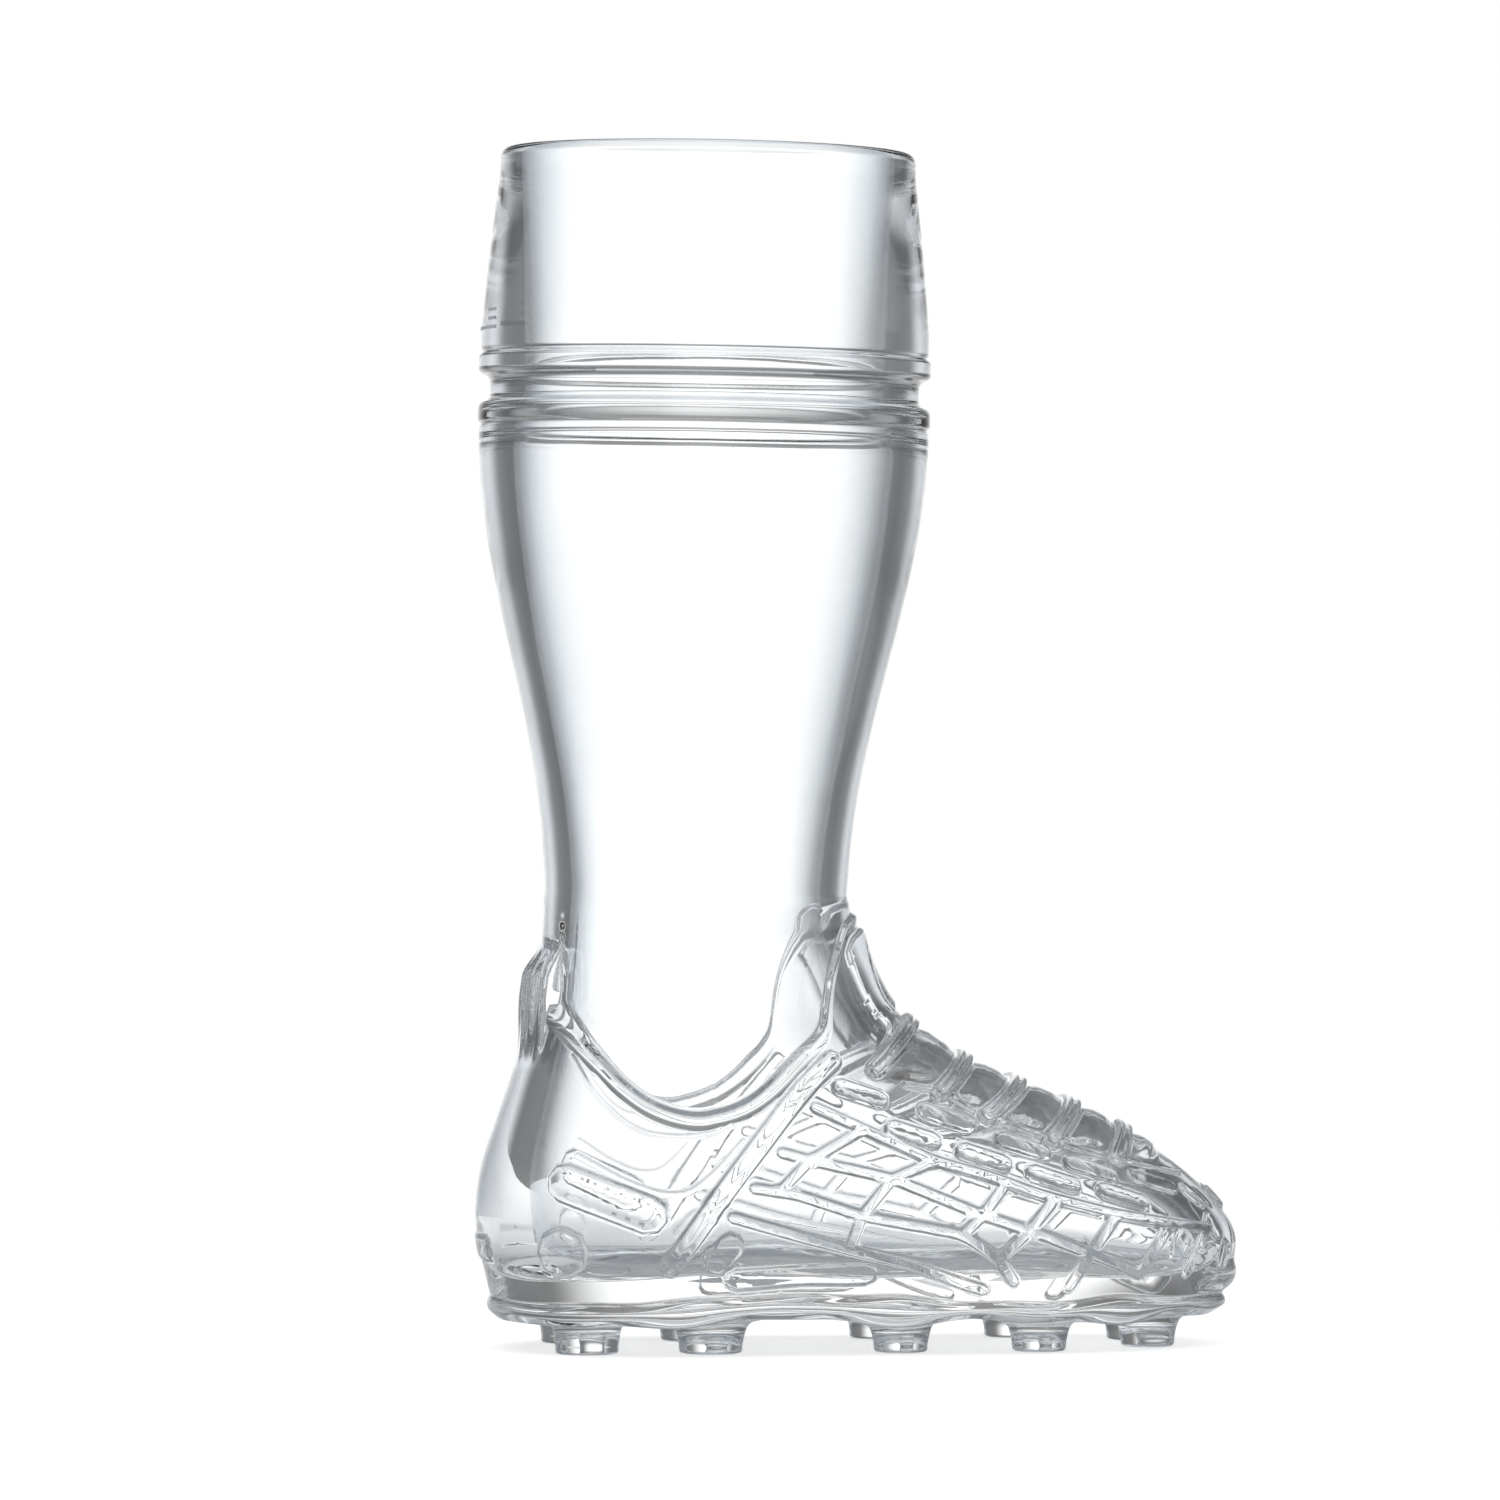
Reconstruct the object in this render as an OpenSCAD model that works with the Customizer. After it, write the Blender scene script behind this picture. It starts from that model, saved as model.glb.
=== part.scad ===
// A drinking glass in the shape of a football boot. The leg is turned about a vertical axis,
// and the shoe is a stack of rings. The toe points along +X and the studs stand on Z = 0.

/* [Height] */
// Table to the top of the rim, along the leg
height = 205.2; // [195:0.2:225]
// Table to the flat joint where the leg ends and the shoe begins
ankle_z = 78; // [74:0.5:84]
// Foot of the cuff to the rim
cuff_h = 31.2; // [26:0.2:36]
// Degrees that the leg leans towards the toe
lean_angle = 1; // [0:0.1:2]

/* [Leg] */
// Outer diameter at the top of the calf
leg_d = 77.4; // [70:0.2:84]
// Outer diameter of the ankle
ankle_d = 52; // [48:0.5:54]
// Wall of the calf at its top
calf_wall = 6; // [4:0.1:7]
// Wall of the leg at the ankle
ankle_wall = 4.7; // [3.5:0.1:6]

/* [Rings] */
// How far each of the two moulded rings stands out from the calf
ring_relief = 0.2; // [0:0.1:2]
// Height of each ring
ring_h = 3.8; // [2.5:0.1:5]
// Depth of the groove between the rings
groove_depth = 2; // [1:0.1:3]
// Height of the groove between the rings
groove_h = 4.8; // [3:0.1:7]
// Radius on the edges of the rings
ring_edge_r = 1; // [0.4:0.1:1.2]

/* [Cuff and rim] */
// How far the straight foot of the cuff stands back from the calf
cuff_inset = 0.2; // [0:0.1:2]
// Height of the straight foot of the cuff
cuff_straight_h = 10; // [6:0.5:14]
// How far the cuff draws in from its foot to the rim
cuff_taper = 2.8; // [0:0.1:5]
// Wall at the rim
rim_wall = 3.9; // [3.8:0.1:6]
// Height of the rounded rim
rim_h = 4; // [3:0.2:6]
// Radius of the roll inside and outside the rim
rim_roll_r = 1.8; // [1:0.1:1.9]

/* [Fill marks] */
// Height of the fill line above the foot of the cuff
mark_rise = 3.6; // [2:0.2:7]
// Height of the line itself
mark_h = 0.6; // [0.4:0.1:0.8]
// How far the marks stand out from the cuff
mark_relief = 0.4; // [0.2:0.1:0.6]

/* [Shoe] */
// Heel to toe
foot_length = 132.4; // [122:0.2:142]
// Rear of the heel to the axis of the leg
heel_reach = 38.1; // [36:0.1:42]
// Width of the heel
heel_width = 57; // [55:0.2:60]
// Width of the ball of the foot, before its edges round in
ball_width = 61; // [58:0.2:66]
// How far each side draws in at the waist
waist_pinch = 1.2; // [0:0.1:2.5]
// Wall of the heel
heel_wall = 6.5; // [5:0.1:8]
// How much more glass there is right at the back of the heel
heel_extra = 2.5; // [0:0.1:4]
// Wall over the instep, measured level
instep_wall = 4.7; // [3.5:0.1:6]
// Lift of the instep line over the cavity
instep_lift = 4; // [3:0.1:6]
// Table to the floor of the cavity
floor_z = 13.5; // [12:0.1:16]
// Radius where the floor meets the cavity wall
floor_r = 6; // [3:0.2:9]

/* [Upper] */
// How deep the leg stands back inside the top line of the upper
collar_depth = 1.4; // [0.8:0.1:2]
// How high the padded collar rises over the top line
collar_crown = 0.5; // [0.3:0.1:0.8]
// Width of the padded collar below the top line
collar_w = 2.6; // [2.2:0.1:4]
// How far the padded collar stands out from the upper
collar_relief = 1; // [0.5:0.1:1.4]
// How far the tongue stands out
tongue_relief = 0.9; // [0.5:0.1:1.4]
// How far the heel tab stands out where it passes over the collar
tab_relief = 2.6; // [2.3:0.1:3.4]
// Half of the width of the heel tab
tab_half_w = 11; // [8:0.5:13]
// Width of a lace bar
lace_w = 2.8; // [1.8:0.1:3.4]
// How far a lace bar stands out
lace_relief = 1.5; // [0.8:0.1:2]
// How far a lace bar drops from the ridge to its ends
lace_drop = 6.2; // [4:0.1:6.8]
// How far a lace bar sweeps back to its ends
lace_sweep = 4.2; // [2:0.1:5]
// Width of the diagonal strap
strap_w = 3.2; // [2.4:0.1:5]
// How far the strap stands out
strap_relief = 0.9; // [0.5:0.1:1.4]
// Width of a bar of the net on the side of the upper
net_w = 1.7; // [1.2:0.1:2.2]
// Width of the thin edge below the laces
edge_w = 1.3; // [0.8:0.1:1.6]
// How far the net and the thin edge stand out
net_relief = 0.7; // [0.4:0.1:1.2]
// How far the flat pads stand out
pad_relief = 0.7; // [0.4:0.1:1.2]
// How far the heel clip stands out
clip_relief = 0.5; // [0.3:0.1:1]
// How far the toe bumper stands out
bumper_relief = 1; // [0.5:0.1:1.4]

/* [Sole] */
// Height of the studs
stud_h = 4.7; // [4:0.1:6]
// Thickness of the sole plate
sole_h = 4.4; // [3:0.1:5]
// How far the welt of the sole plate stands out
welt_relief = 0.6; // [0.2:0.1:1]
// Foot radius of a heel stud
heel_stud_r = 5.4; // [4:0.1:6]
// Foot radius of a forefoot stud
fore_stud_r = 4.6; // [3.5:0.1:5.4]
// How much wider a stud is where it meets the sole
stud_flare = 1.8; // [0.8:0.1:2.2]
// Bevel round the foot of a stud
stud_bevel = 0.6; // [0.2:0.1:1]

/* [Hidden] */

// Glass tones, so that neighbours can be told apart
glass_clear = [0.80, 0.86, 0.90];
glass_edge = [0.62, 0.70, 0.78];
glass_deep = [0.70, 0.74, 0.84];

// Points round each ring of the shoe
ring_points = 72;
$fn = 96;

// Places along X. The box of the whole part is centred on X = 0.
heel_x = -foot_length / 2;
toe_x = foot_length / 2;
leg_x = heel_x + heel_reach;
ankle_r = ankle_d / 2;
ankle_front_x = leg_x + ankle_r;

// Radii of the leg
calf_top_r = leg_d / 2;
ring_r = calf_top_r + ring_relief;
groove_r = ring_r - groove_depth;
cuff_r = calf_top_r - cuff_inset;
mouth_r = cuff_r - cuff_taper;
bore_r = mouth_r - rim_wall;
ring_bore_r = calf_top_r - calf_wall;

// Levels from the table up
welt_z = stud_h + sole_h;
rim_z = height - rim_h;
cuff_z = rim_z - cuff_h;
upper_ring_z = cuff_z - ring_h;
groove_z = upper_ring_z - groove_h;
lower_ring_z = groove_z - ring_h;
calf_top_z = lower_ring_z;

// The shoe's side view. Each pair is a share of the height from the welt to the ankle joint,
// then a share of the length from the outermost point of the foot in to the leg, or out to the toe.
heel_line_shares = [[0, 0.22], [0.05, 0.15], [0.125, 0.05], [0.197, 0], [0.255, 0.015],
    [0.313, 0.07], [0.371, 0.17], [0.429, 0.285], [0.487, 0.4], [0.545, 0.52],
    [0.603, 0.635], [0.661, 0.75], [0.734, 0.87], [0.87, 0.955], [1, 1]];
toe_line_shares = [[0, 0.96], [0.055, 0.985], [0.13, 1], [0.172, 0.985], [0.218, 0.95],
    [0.268, 0.905], [0.32, 0.845], [0.366, 0.772], [0.417, 0.686], [0.465, 0.582],
    [0.514, 0.455], [0.566, 0.328], [0.617, 0.235], [0.675, 0.156], [0.725, 0.104],
    [0.805, 0.062], [0.9, 0.032], [1, 0]];
toe_tip_share = 0.13;
// Half width beside the leg, as a share from the ankle's radius to half of the heel's width
side_shares = [[0, 0.4], [0.07, 0.72], [0.16, 0.95], [0.25, 1], [0.4, 0.95], [0.5, 0.82],
    [0.6, 0.64], [0.75, 0.38], [0.88, 0.15], [1, 0]];
// Waist and ball along the foot, from the leg to the toe: -1 is the full pinch, 1 the full ball
plan_shares = [[0, 0], [0.16, -0.6], [0.3, -1], [0.42, -0.2], [0.56, 0.8], [0.68, 1], [1, 1]];
// Top line of the upper, from the heel round to the front: share of a half turn, share of height
collar_shares = [[0, 0.735], [0.1, 0.745], [0.13, 0.741], [0.211, 0.685], [0.284, 0.609],
    [0.341, 0.542], [0.387, 0.498], [0.427, 0.473], [0.466, 0.46], [0.5, 0.462], [0.527, 0.486],
    [0.549, 0.524], [0.588, 0.586], [0.635, 0.634], [0.674, 0.669], [0.71, 0.735], [0.746, 0.812],
    [0.803, 0.89], [0.842, 0.925], [0.92, 0.945], [1, 0.95]];
// How far a table's reading is averaged to each side
ease_share = 0.012;
collar_ease_share = 0.02;

function mix(a, b, t) = a + (b - a) * t;
function within_unit(t) = max(0, min(1, t));
function soft(t) = let (c = within_unit(t)) c * c * (3 - 2 * c);
function mean5(t, table, spread) = (lookup(t - 2 * spread, table) + lookup(t - spread, table)
    + lookup(t, table) + lookup(t + spread, table) + lookup(t + 2 * spread, table)) / 5;
function unit(v) = v / norm(v);

// Level of a height: 0 at the welt, 1 at the ankle joint
function level(z) = (z - welt_z) / (ankle_z - welt_z);
function height_at(share) = mix(welt_z, ankle_z, share);

// Rear and front of the outer skin at a height
function back_x(z) = mix(heel_x, leg_x - ankle_r, mean5(level(z), heel_line_shares, ease_share));
function front_x(z) = mix(ankle_front_x, toe_x, mean5(level(z), toe_line_shares, ease_share));
function side_w(z) = mix(ankle_r, heel_width / 2, mean5(level(z), side_shares, ease_share));

// What the waist takes away and the ball adds, fading out towards the ankle
function plan_growth(x, z) = let (
        p = mean5((x - leg_x) / (toe_x - leg_x), plan_shares, ease_share),
        w = p < 0 ? p * waist_pinch : p * (ball_width - heel_width) / 2)
    w * (1 - soft((level(z) - 0.25) / 0.5));

// How square the plan is: 2 is an ellipse, more is fuller
function toe_power(z) = mix(4, 2, soft((level(z) - 0.12) / 0.62));
function heel_power(z) = mix(2.5, 2, soft(level(z) / 0.8));
// How sharp the ridge of the instep is: 2 is round, less is a crest
function ridge_power(z) = 2 - 0.35 * soft((level(z) - 0.15) / 0.25) * soft((0.95 - level(z)) / 0.3);

// A point on a ring: turn 0 is the heel, 90 the left side, 180 the toe, 270 the right side
function ring_point(turn, z, rear, front, half) = let (
        s = -cos(turn),
        x = leg_x + s * (s < 0 ? leg_x - rear : front - leg_x),
        full = pow(max(0, 1 - pow(abs(s), s < 0 ? heel_power(z) : toe_power(z))),
            1 / (s < 0 ? 2 : ridge_power(z))),
        y = (half + plan_growth(x, z)) * full)
    [x, sin(turn) < 0 ? -y : y, z];

// The outer skin of the shoe, and its outward direction
function skin_point(turn, z) = ring_point(turn, z, back_x(z), front_x(z), side_w(z));
step_angle = 1;
z_step = ankle_z / 200;
function skin_normal(turn, z) = unit(cross(
    skin_point(turn, z + z_step) - skin_point(turn, z - z_step),
    skin_point(turn + step_angle, z) - skin_point(turn - step_angle, z)));
function relief_point(turn, z, relief) = relief == 0 ? skin_point(turn, z)
    : skin_point(turn, z) + relief * skin_normal(turn, z);

// The cavity follows the skin at the distance of the walls, and rounds in to its floor
function wall_at(z) = mix(heel_wall, ankle_wall, soft(level(z)));
function floor_inset(z) = let (d = max(0, floor_r - (z - floor_z)))
    floor_r - sqrt(max(0, floor_r * floor_r - d * d));
function cavity_point(turn, z) = let (i = floor_inset(z))
    ring_point(turn, z, back_x(z) + wall_at(z) + heel_extra * (1 - soft(level(z))) + i,
        front_x(z + instep_lift) - instep_wall - i, side_w(z) - wall_at(z) - i);

// The turn at which the skin passes a place in the side view, on the left (1) or right (-1)
function turn_at(x, z, side) = let (
        reach = x < leg_x ? leg_x - back_x(z) : front_x(z) - leg_x,
        t = acos(-max(-1, min(1, (x - leg_x) / reach))))
    side > 0 ? t : 360 - t;
function side_point(x, z, relief, side) = relief_point(turn_at(x, z, side), z, relief);

// Height of the instep's ridge over a place, found by halving
function ridge_z(x, low = height_at(toe_tip_share), high = ankle_z, n = 16) =
    n == 0 ? (low + high) / 2
    : let (m = (low + high) / 2) front_x(m) > x ? ridge_z(x, m, high, n - 1)
                                                : ridge_z(x, low, m, n - 1);

// Top line of the upper round the leg
function half_turn(turn) = let (t = turn < 0 ? -turn : turn > 180 ? 360 - turn : turn) t / 180;
function folded(share) = share < 0 ? -share : share > 1 ? 2 - share : share;
function collar_z(turn) = let (h = half_turn(turn))
    height_at((lookup(folded(h - 2 * collar_ease_share), collar_shares)
        + lookup(folded(h - collar_ease_share), collar_shares) + lookup(h, collar_shares)
        + lookup(folded(h + collar_ease_share), collar_shares)
        + lookup(folded(h + 2 * collar_ease_share), collar_shares)) / 5);

// Room between a raised piece and the flat facets of the skin under it
seat_gap = 0.06;

// Faces of a grid of points, row after row, and of closed ends
function tile(a, b, c, d) = [[a, b, c], [a, c, d]];
function tiles(rows, cols, close_cols, close_rows = false) = [
    for (r = [0 : close_rows ? rows - 1 : rows - 2], c = [0 : close_cols ? cols - 1 : cols - 2])
        each tile(r * cols + c, r * cols + (c + 1) % cols,
            ((r + 1) % rows) * cols + (c + 1) % cols, ((r + 1) % rows) * cols + c)];
// An end ring is closed by strips across from one side to the other
function cap(start, n) = [for (i = [0 : n / 2 - 1])
    each i == 0 ? [[start, start + 1, start + n - 1]]
        : i == n / 2 - 1 ? [[start + i, start + i + 1, start + n - i]]
        : tile(start + i, start + i + 1, start + n - i - 1, start + n - i)];
function turned(faces) = [for (f = faces) [f[2], f[1], f[0]]];
function joined(lists) = [for (l = lists) each l];
function turns() = [for (i = [0 : ring_points - 1]) 360 * i / ring_points];

// A closed slab from a grid of points on the skin and a grid of raised points over it
module slab(base, top) {
    rows = len(base);
    cols = len(base[0]);
    n = rows * cols;
    rim = concat([for (c = [0 : cols - 1]) c], [for (r = [1 : rows - 1]) r * cols + cols - 1],
        [for (c = [cols - 2 : -1 : 0]) (rows - 1) * cols + c],
        [for (r = [rows - 2 : -1 : 1]) r * cols]);
    m = len(rim);
    walls = [for (i = [0 : m - 1])
        each tile(rim[i], rim[(i + 1) % m], n + rim[(i + 1) % m], n + rim[i])];
    faces = concat(tiles(rows, cols, false),
        turned([for (f = tiles(rows, cols, false)) f + [n, n, n]]), turned(walls));
    polyhedron(points = concat(joined(base), joined(top)), faces = faces);
}

// A closed bar from the outlines of its sections, given in order
module bar(sections) {
    n = len(sections);
    k = len(sections[0]);
    first = [for (i = [1 : k - 2]) [0, i, i + 1]];
    last = [for (i = [1 : k - 2]) [(n - 1) * k, (n - 1) * k + i + 1, (n - 1) * k + i]];
    polyhedron(points = joined(sections), faces = concat(tiles(n, k, true), turned(first), turned(last)));
}

// Places in the side view: a share of the foot from the heel, and a share of the height. Those
// ahead of the ankle's front spread between it and the toe.
ankle_front_share = 0.484;
function foot_x(share) = share < ankle_front_share
    ? mix(heel_x, ankle_front_x, share / ankle_front_share)
    : mix(ankle_front_x, toe_x, (share - ankle_front_share) / (1 - ankle_front_share));
function place(share) = [foot_x(share[0]), height_at(share[1])];

// Points along a line of places, with steps between each two
function along(line, steps) = concat([for (i = [0 : len(line) - 2], k = [0 : steps - 1])
    mix(line[i], line[i + 1], k / steps)], [line[len(line) - 1]]);
function heading(line, i) = unit(line[min(i + 1, len(line) - 1)] - line[max(i - 1, 0)]);

// A raised bar that lies on the side of the upper along a line of places
bar_crown_share = 0.55;
module side_bar(line, width, relief, side) {
    across = [-1, -bar_crown_share, bar_crown_share, 1] * width / 2;
    lift = [seat_gap, relief, relief, seat_gap];
    sections = [for (i = [0 : len(line) - 1]) let (h = heading(line, i))
        [for (k = [0 : 3]) side_point(line[i][0] - h[1] * across[k],
            line[i][1] + h[0] * across[k], lift[k], side)]];
    bar(side < 0 ? sections : [for (s = sections) [s[3], s[2], s[1], s[0]]]);
}

// A rounded pad on the side of the upper: middle, length, width and angle in the side view
pad_end_share = 0.6;
pad_edge_share = 0.4;
module side_pad(centre, length, width, angle, relief, side) {
    rows = [for (s = [-1, -0.8, -0.4, 0, 0.4, 0.8, 1]) [for (t = [-1, -0.5, 0, 0.5, 1])
        [s, t]]];
    spots = [for (r = rows) [for (p = r) let (
            u = p[0] * length / 2,
            v = p[1] * width / 2 * (1 - pad_end_share * pow(abs(p[0]), 6)))
        [centre[0] + u * cos(angle) - v * sin(angle), centre[1] + u * sin(angle) + v * cos(angle),
            relief * mix(pad_edge_share, 1, (1 - p[0] * p[0]) * (1 - p[1] * p[1]))]]];
    base = [for (r = spots) [for (p = r) side_point(p[0], p[1], seat_gap, side)]];
    top = [for (r = spots) [for (p = r) side_point(p[0], p[1], p[2], side)]];
    flip = [for (r = [len(base) - 1 : -1 : 0]) base[r]];
    flip_top = [for (r = [len(top) - 1 : -1 : 0]) top[r]];
    slab(side > 0 ? base : flip, side > 0 ? top : flip_top);
}

// Half of the leg's section, outside and inside
calf_power = 1.1;
calf_foot_share = 0.08;
function calf_z(t) = mix(ankle_z, calf_top_z, t);
function swell(t) = let (s = within_unit((t + calf_foot_share) / (1 + calf_foot_share)))
    (1 - cos(180 * pow(s, calf_power))) / 2;
function calf_r(t) = mix(ankle_r, calf_top_r, (swell(t) - swell(0)) / (1 - swell(0)));
function calf_bore_r(t) = calf_r(t) - mix(ankle_wall, calf_wall, t);
calf_steps = 22;

// Bore of the three short pieces between the calf and the cuff
function band_bore_r(z) = mix(ring_bore_r, bore_r, (z - calf_top_z) / (cuff_z - calf_top_z));

module on_leg() {
    translate([leg_x, 0, ankle_z]) rotate([0, lean_angle, 0]) translate([0, 0, -ankle_z])
        children();
}

module turned_leg(outline) {
    on_leg() rotate_extrude() polygon(outline);
}

module rim() {
    color(glass_edge) turned_leg(concat(
        [[bore_r, rim_z], [mouth_r, rim_z]],
        [for (a = [0 : 15 : 90]) [mouth_r - rim_roll_r + rim_roll_r * cos(a),
            height - rim_roll_r + rim_roll_r * sin(a)]],
        [for (a = [90 : 15 : 180]) [bore_r + rim_roll_r + rim_roll_r * cos(a),
            height - rim_roll_r + rim_roll_r * sin(a)]]));
}

// The cuff is straight at its foot and draws in to the rim in a long curve
module cuff() {
    straight_z = cuff_z + cuff_straight_h;
    color(glass_clear) turned_leg(concat(
        [[bore_r, cuff_z], [cuff_r, cuff_z]],
        [for (a = [0 : 9 : 90]) [mix(mouth_r, cuff_r, cos(a)), mix(straight_z, rim_z, a / 90)]],
        [[bore_r, rim_z]]));
}

module ring_band(z) {
    r = ring_r;
    color(glass_edge) turned_leg([
        [band_bore_r(z), z], [r - ring_edge_r, z], [r, z + ring_edge_r],
        [r, z + ring_h - ring_edge_r], [r - ring_edge_r, z + ring_h],
        [band_bore_r(z + ring_h), z + ring_h]]);
}

module upper_ring() {
    ring_band(upper_ring_z);
}

module lower_ring() {
    ring_band(lower_ring_z);
}

module ring_groove() {
    color(glass_clear) turned_leg([
        [band_bore_r(groove_z), groove_z], [groove_r, groove_z],
        [groove_r, upper_ring_z], [band_bore_r(upper_ring_z), upper_ring_z]]);
}

module calf() {
    color(glass_clear) turned_leg(concat(
        [for (i = [0 : calf_steps]) [calf_r(i / calf_steps), calf_z(i / calf_steps)]],
        [for (i = [calf_steps : -1 : 0]) [calf_bore_r(i / calf_steps), calf_z(i / calf_steps)]]));
}

// A fill line with two plain ticks over it, on the right of the cuff towards the heel
mark_angle = 196;
mark_sweep_angle = 20;
tick_sweep_angle = 6;
tick_pitch_share = 0.3;
module fill_marks() {
    tick_pitch = cuff_straight_h * tick_pitch_share / 2;
    color(glass_deep) on_leg() for (i = [0 : 2])
        translate([0, 0, cuff_z + mark_rise + i * tick_pitch])
            rotate([0, 0, mark_angle])
                rotate_extrude(angle = i == 0 ? mark_sweep_angle : tick_sweep_angle)
                    translate([cuff_r, 0]) square([mark_relief, mark_h]);
}

// The joint between leg and shoe leans with the leg
function leaned(p) = [leg_x + (p[0] - leg_x) * cos(lean_angle), p[1],
    p[2] - (p[0] - leg_x) * sin(lean_angle)];

// The shell of the shoe: the lower leg inside the collar, the upper, and the cavity
leg_rings = 5;
fan_rings = 10;
flat_share = 0.375;
flat_rings = 9;
cavity_shares = [0, 0.02, 0.055, 0.11, 0.17, 0.23, 0.29, 0.34, 0.39, 0.44, 0.49, 0.54,
    0.59, 0.64, 0.69, 0.75, 0.82, 0.9];
module shoe_shell() {
    t = turns();
    cavity = concat(
        [for (s = cavity_shares) [for (a = t) cavity_point(a, mix(floor_z, ankle_z, s))]],
        [[for (a = t) leaned(cavity_point(a, ankle_z))], [for (a = t) leaned(skin_point(a, ankle_z))]]);
    leg = [for (i = [1 : leg_rings]) [for (a = t)
        relief_point(a, mix(ankle_z, collar_z(a), i / leg_rings), -collar_depth * i / leg_rings)]];
    edge = [[for (a = t) skin_point(a, collar_z(a))]];
    fan = [for (i = [0 : fan_rings]) [for (a = t)
        skin_point(a, mix(collar_z(a) - collar_w, height_at(flat_share), i / fan_rings))]];
    flat = [for (i = [1 : flat_rings]) [for (a = t)
        skin_point(a, height_at(flat_share * (1 - i / flat_rings)))]];
    rings = concat(cavity, leg, edge, fan, flat);
    n = ring_points;
    color(glass_clear) polyhedron(points = joined(rings),
        faces = concat(turned(tiles(len(rings), n, true)), cap(0, n),
            turned(cap((len(rings) - 1) * n, n))));
}

// The padded collar fills the step and rolls over the top line
module ankle_collar() {
    sections = [for (a = turns()) let (z = collar_z(a)) [
        relief_point(a, z, -collar_depth),
        skin_point(a, z),
        skin_point(a, z - collar_w),
        relief_point(a, z - collar_w * 0.65, collar_relief),
        relief_point(a, z, collar_relief),
        relief_point(a, z + collar_crown, -collar_depth / 2)]];
    k = len(sections[0]);
    color(glass_edge) polyhedron(points = joined(sections),
        faces = turned(tiles(ring_points, k, true, true)));
}

// The tongue lies over the front of the ankle, between the collar and the first lace
tongue_angle = 36;
tongue_foot_share = 0.745;
tongue_side_share = 0.69;
collar_gap = 0.3;
module tongue() {
    columns = [-1, -0.8, -0.55, -0.3, -0.1, 0.1, 0.3, 0.55, 0.8, 1];
    rows = [0, 0.15, 0.4, 0.7, 0.9, 1];
    spots = [for (c = columns) [for (r = rows) let (
            a = 180 + c * tongue_angle,
            z = mix(height_at(mix(tongue_foot_share, tongue_side_share, c * c)),
                collar_z(a) - collar_w - collar_gap, r),
            crown = (1 - pow(abs(c), 4)) * (1 - pow(abs(2 * r - 1), 6)))
        [a, z, tongue_relief * mix(pad_edge_share, 1, crown)]]];
    base = [for (c = spots) [for (p = c) relief_point(p[0], p[1], seat_gap)]];
    top = [for (c = spots) [for (p = c) relief_point(p[0], p[1], p[2])]];
    color(glass_clear) slab(base, top);
}

// Lace bars cross the ridge. Each has its place as a share of the foot from the heel, and its own
// shares of the sweep and the drop. The first one is the longest.
lace_shares = [[0.566, 2.07, 1.11], [0.637, 1.29, 0.53], [0.708, 1.5, 0.55],
    [0.779, 1.3, 0.58], [0.846, 0.72, 0.4]];
module laces() {
    across = [-1, -bar_crown_share, bar_crown_share, 1] * lace_w / 2;
    lift = [seat_gap, lace_relief, lace_relief, seat_gap];
    color(glass_edge) for (share = lace_shares) {
        sections = [for (i = [-9 : 9]) let (t = i / 9) [for (k = [3 : -1 : 0]) let (
                x = foot_x(share[0]) + across[k])
            side_point(x - share[1] * lace_sweep * t * t,
                ridge_z(x) - share[2] * lace_drop * t * t, lift[k], t)]];
        bar(sections);
    }
}

// A thin raised edge runs below the ends of the laces on each side
lace_edge_shares = [[0.54, 0.53], [0.585, 0.513], [0.62, 0.474], [0.66, 0.438], [0.7, 0.414],
    [0.744, 0.38], [0.79, 0.355], [0.83, 0.338], [0.865, 0.322]];
module lace_edge(side) {
    color(glass_edge) side_bar([for (p = lace_edge_shares) place(p)], edge_w, net_relief, side);
}

module lace_edge_left() {
    lace_edge(1);
}

module lace_edge_right() {
    lace_edge(-1);
}

// The net on each side of the vamp: long lines run to the toe and short ones cross between them
net_line_shares = [
    [[0.418, 0.48], [0.48, 0.426], [0.572, 0.346], [0.641, 0.309], [0.714, 0.258],
        [0.805, 0.212], [0.885, 0.183]],
    [[0.375, 0.37], [0.411, 0.351], [0.518, 0.304], [0.634, 0.213], [0.711, 0.164],
        [0.776, 0.116], [0.842, 0.058]],
    [[0.34, 0.283], [0.395, 0.267], [0.478, 0.213], [0.609, 0.167], [0.656, 0.105],
        [0.674, 0.052]]];
net_cross_shares = [
    [[0.48, 0.426], [0.411, 0.351]], [[0.411, 0.351], [0.372, 0.275]],
    [[0.572, 0.346], [0.518, 0.304]], [[0.518, 0.304], [0.478, 0.213]],
    [[0.478, 0.213], [0.465, 0.157]],
    [[0.665, 0.291], [0.634, 0.213]], [[0.634, 0.213], [0.609, 0.167]],
    [[0.728, 0.25], [0.694, 0.175]], [[0.694, 0.175], [0.656, 0.108]],
    [[0.812, 0.21], [0.776, 0.116]], [[0.776, 0.116], [0.748, 0.04]],
    [[0.885, 0.183], [0.842, 0.058]]];
bar_gap = 0.3;
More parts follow.
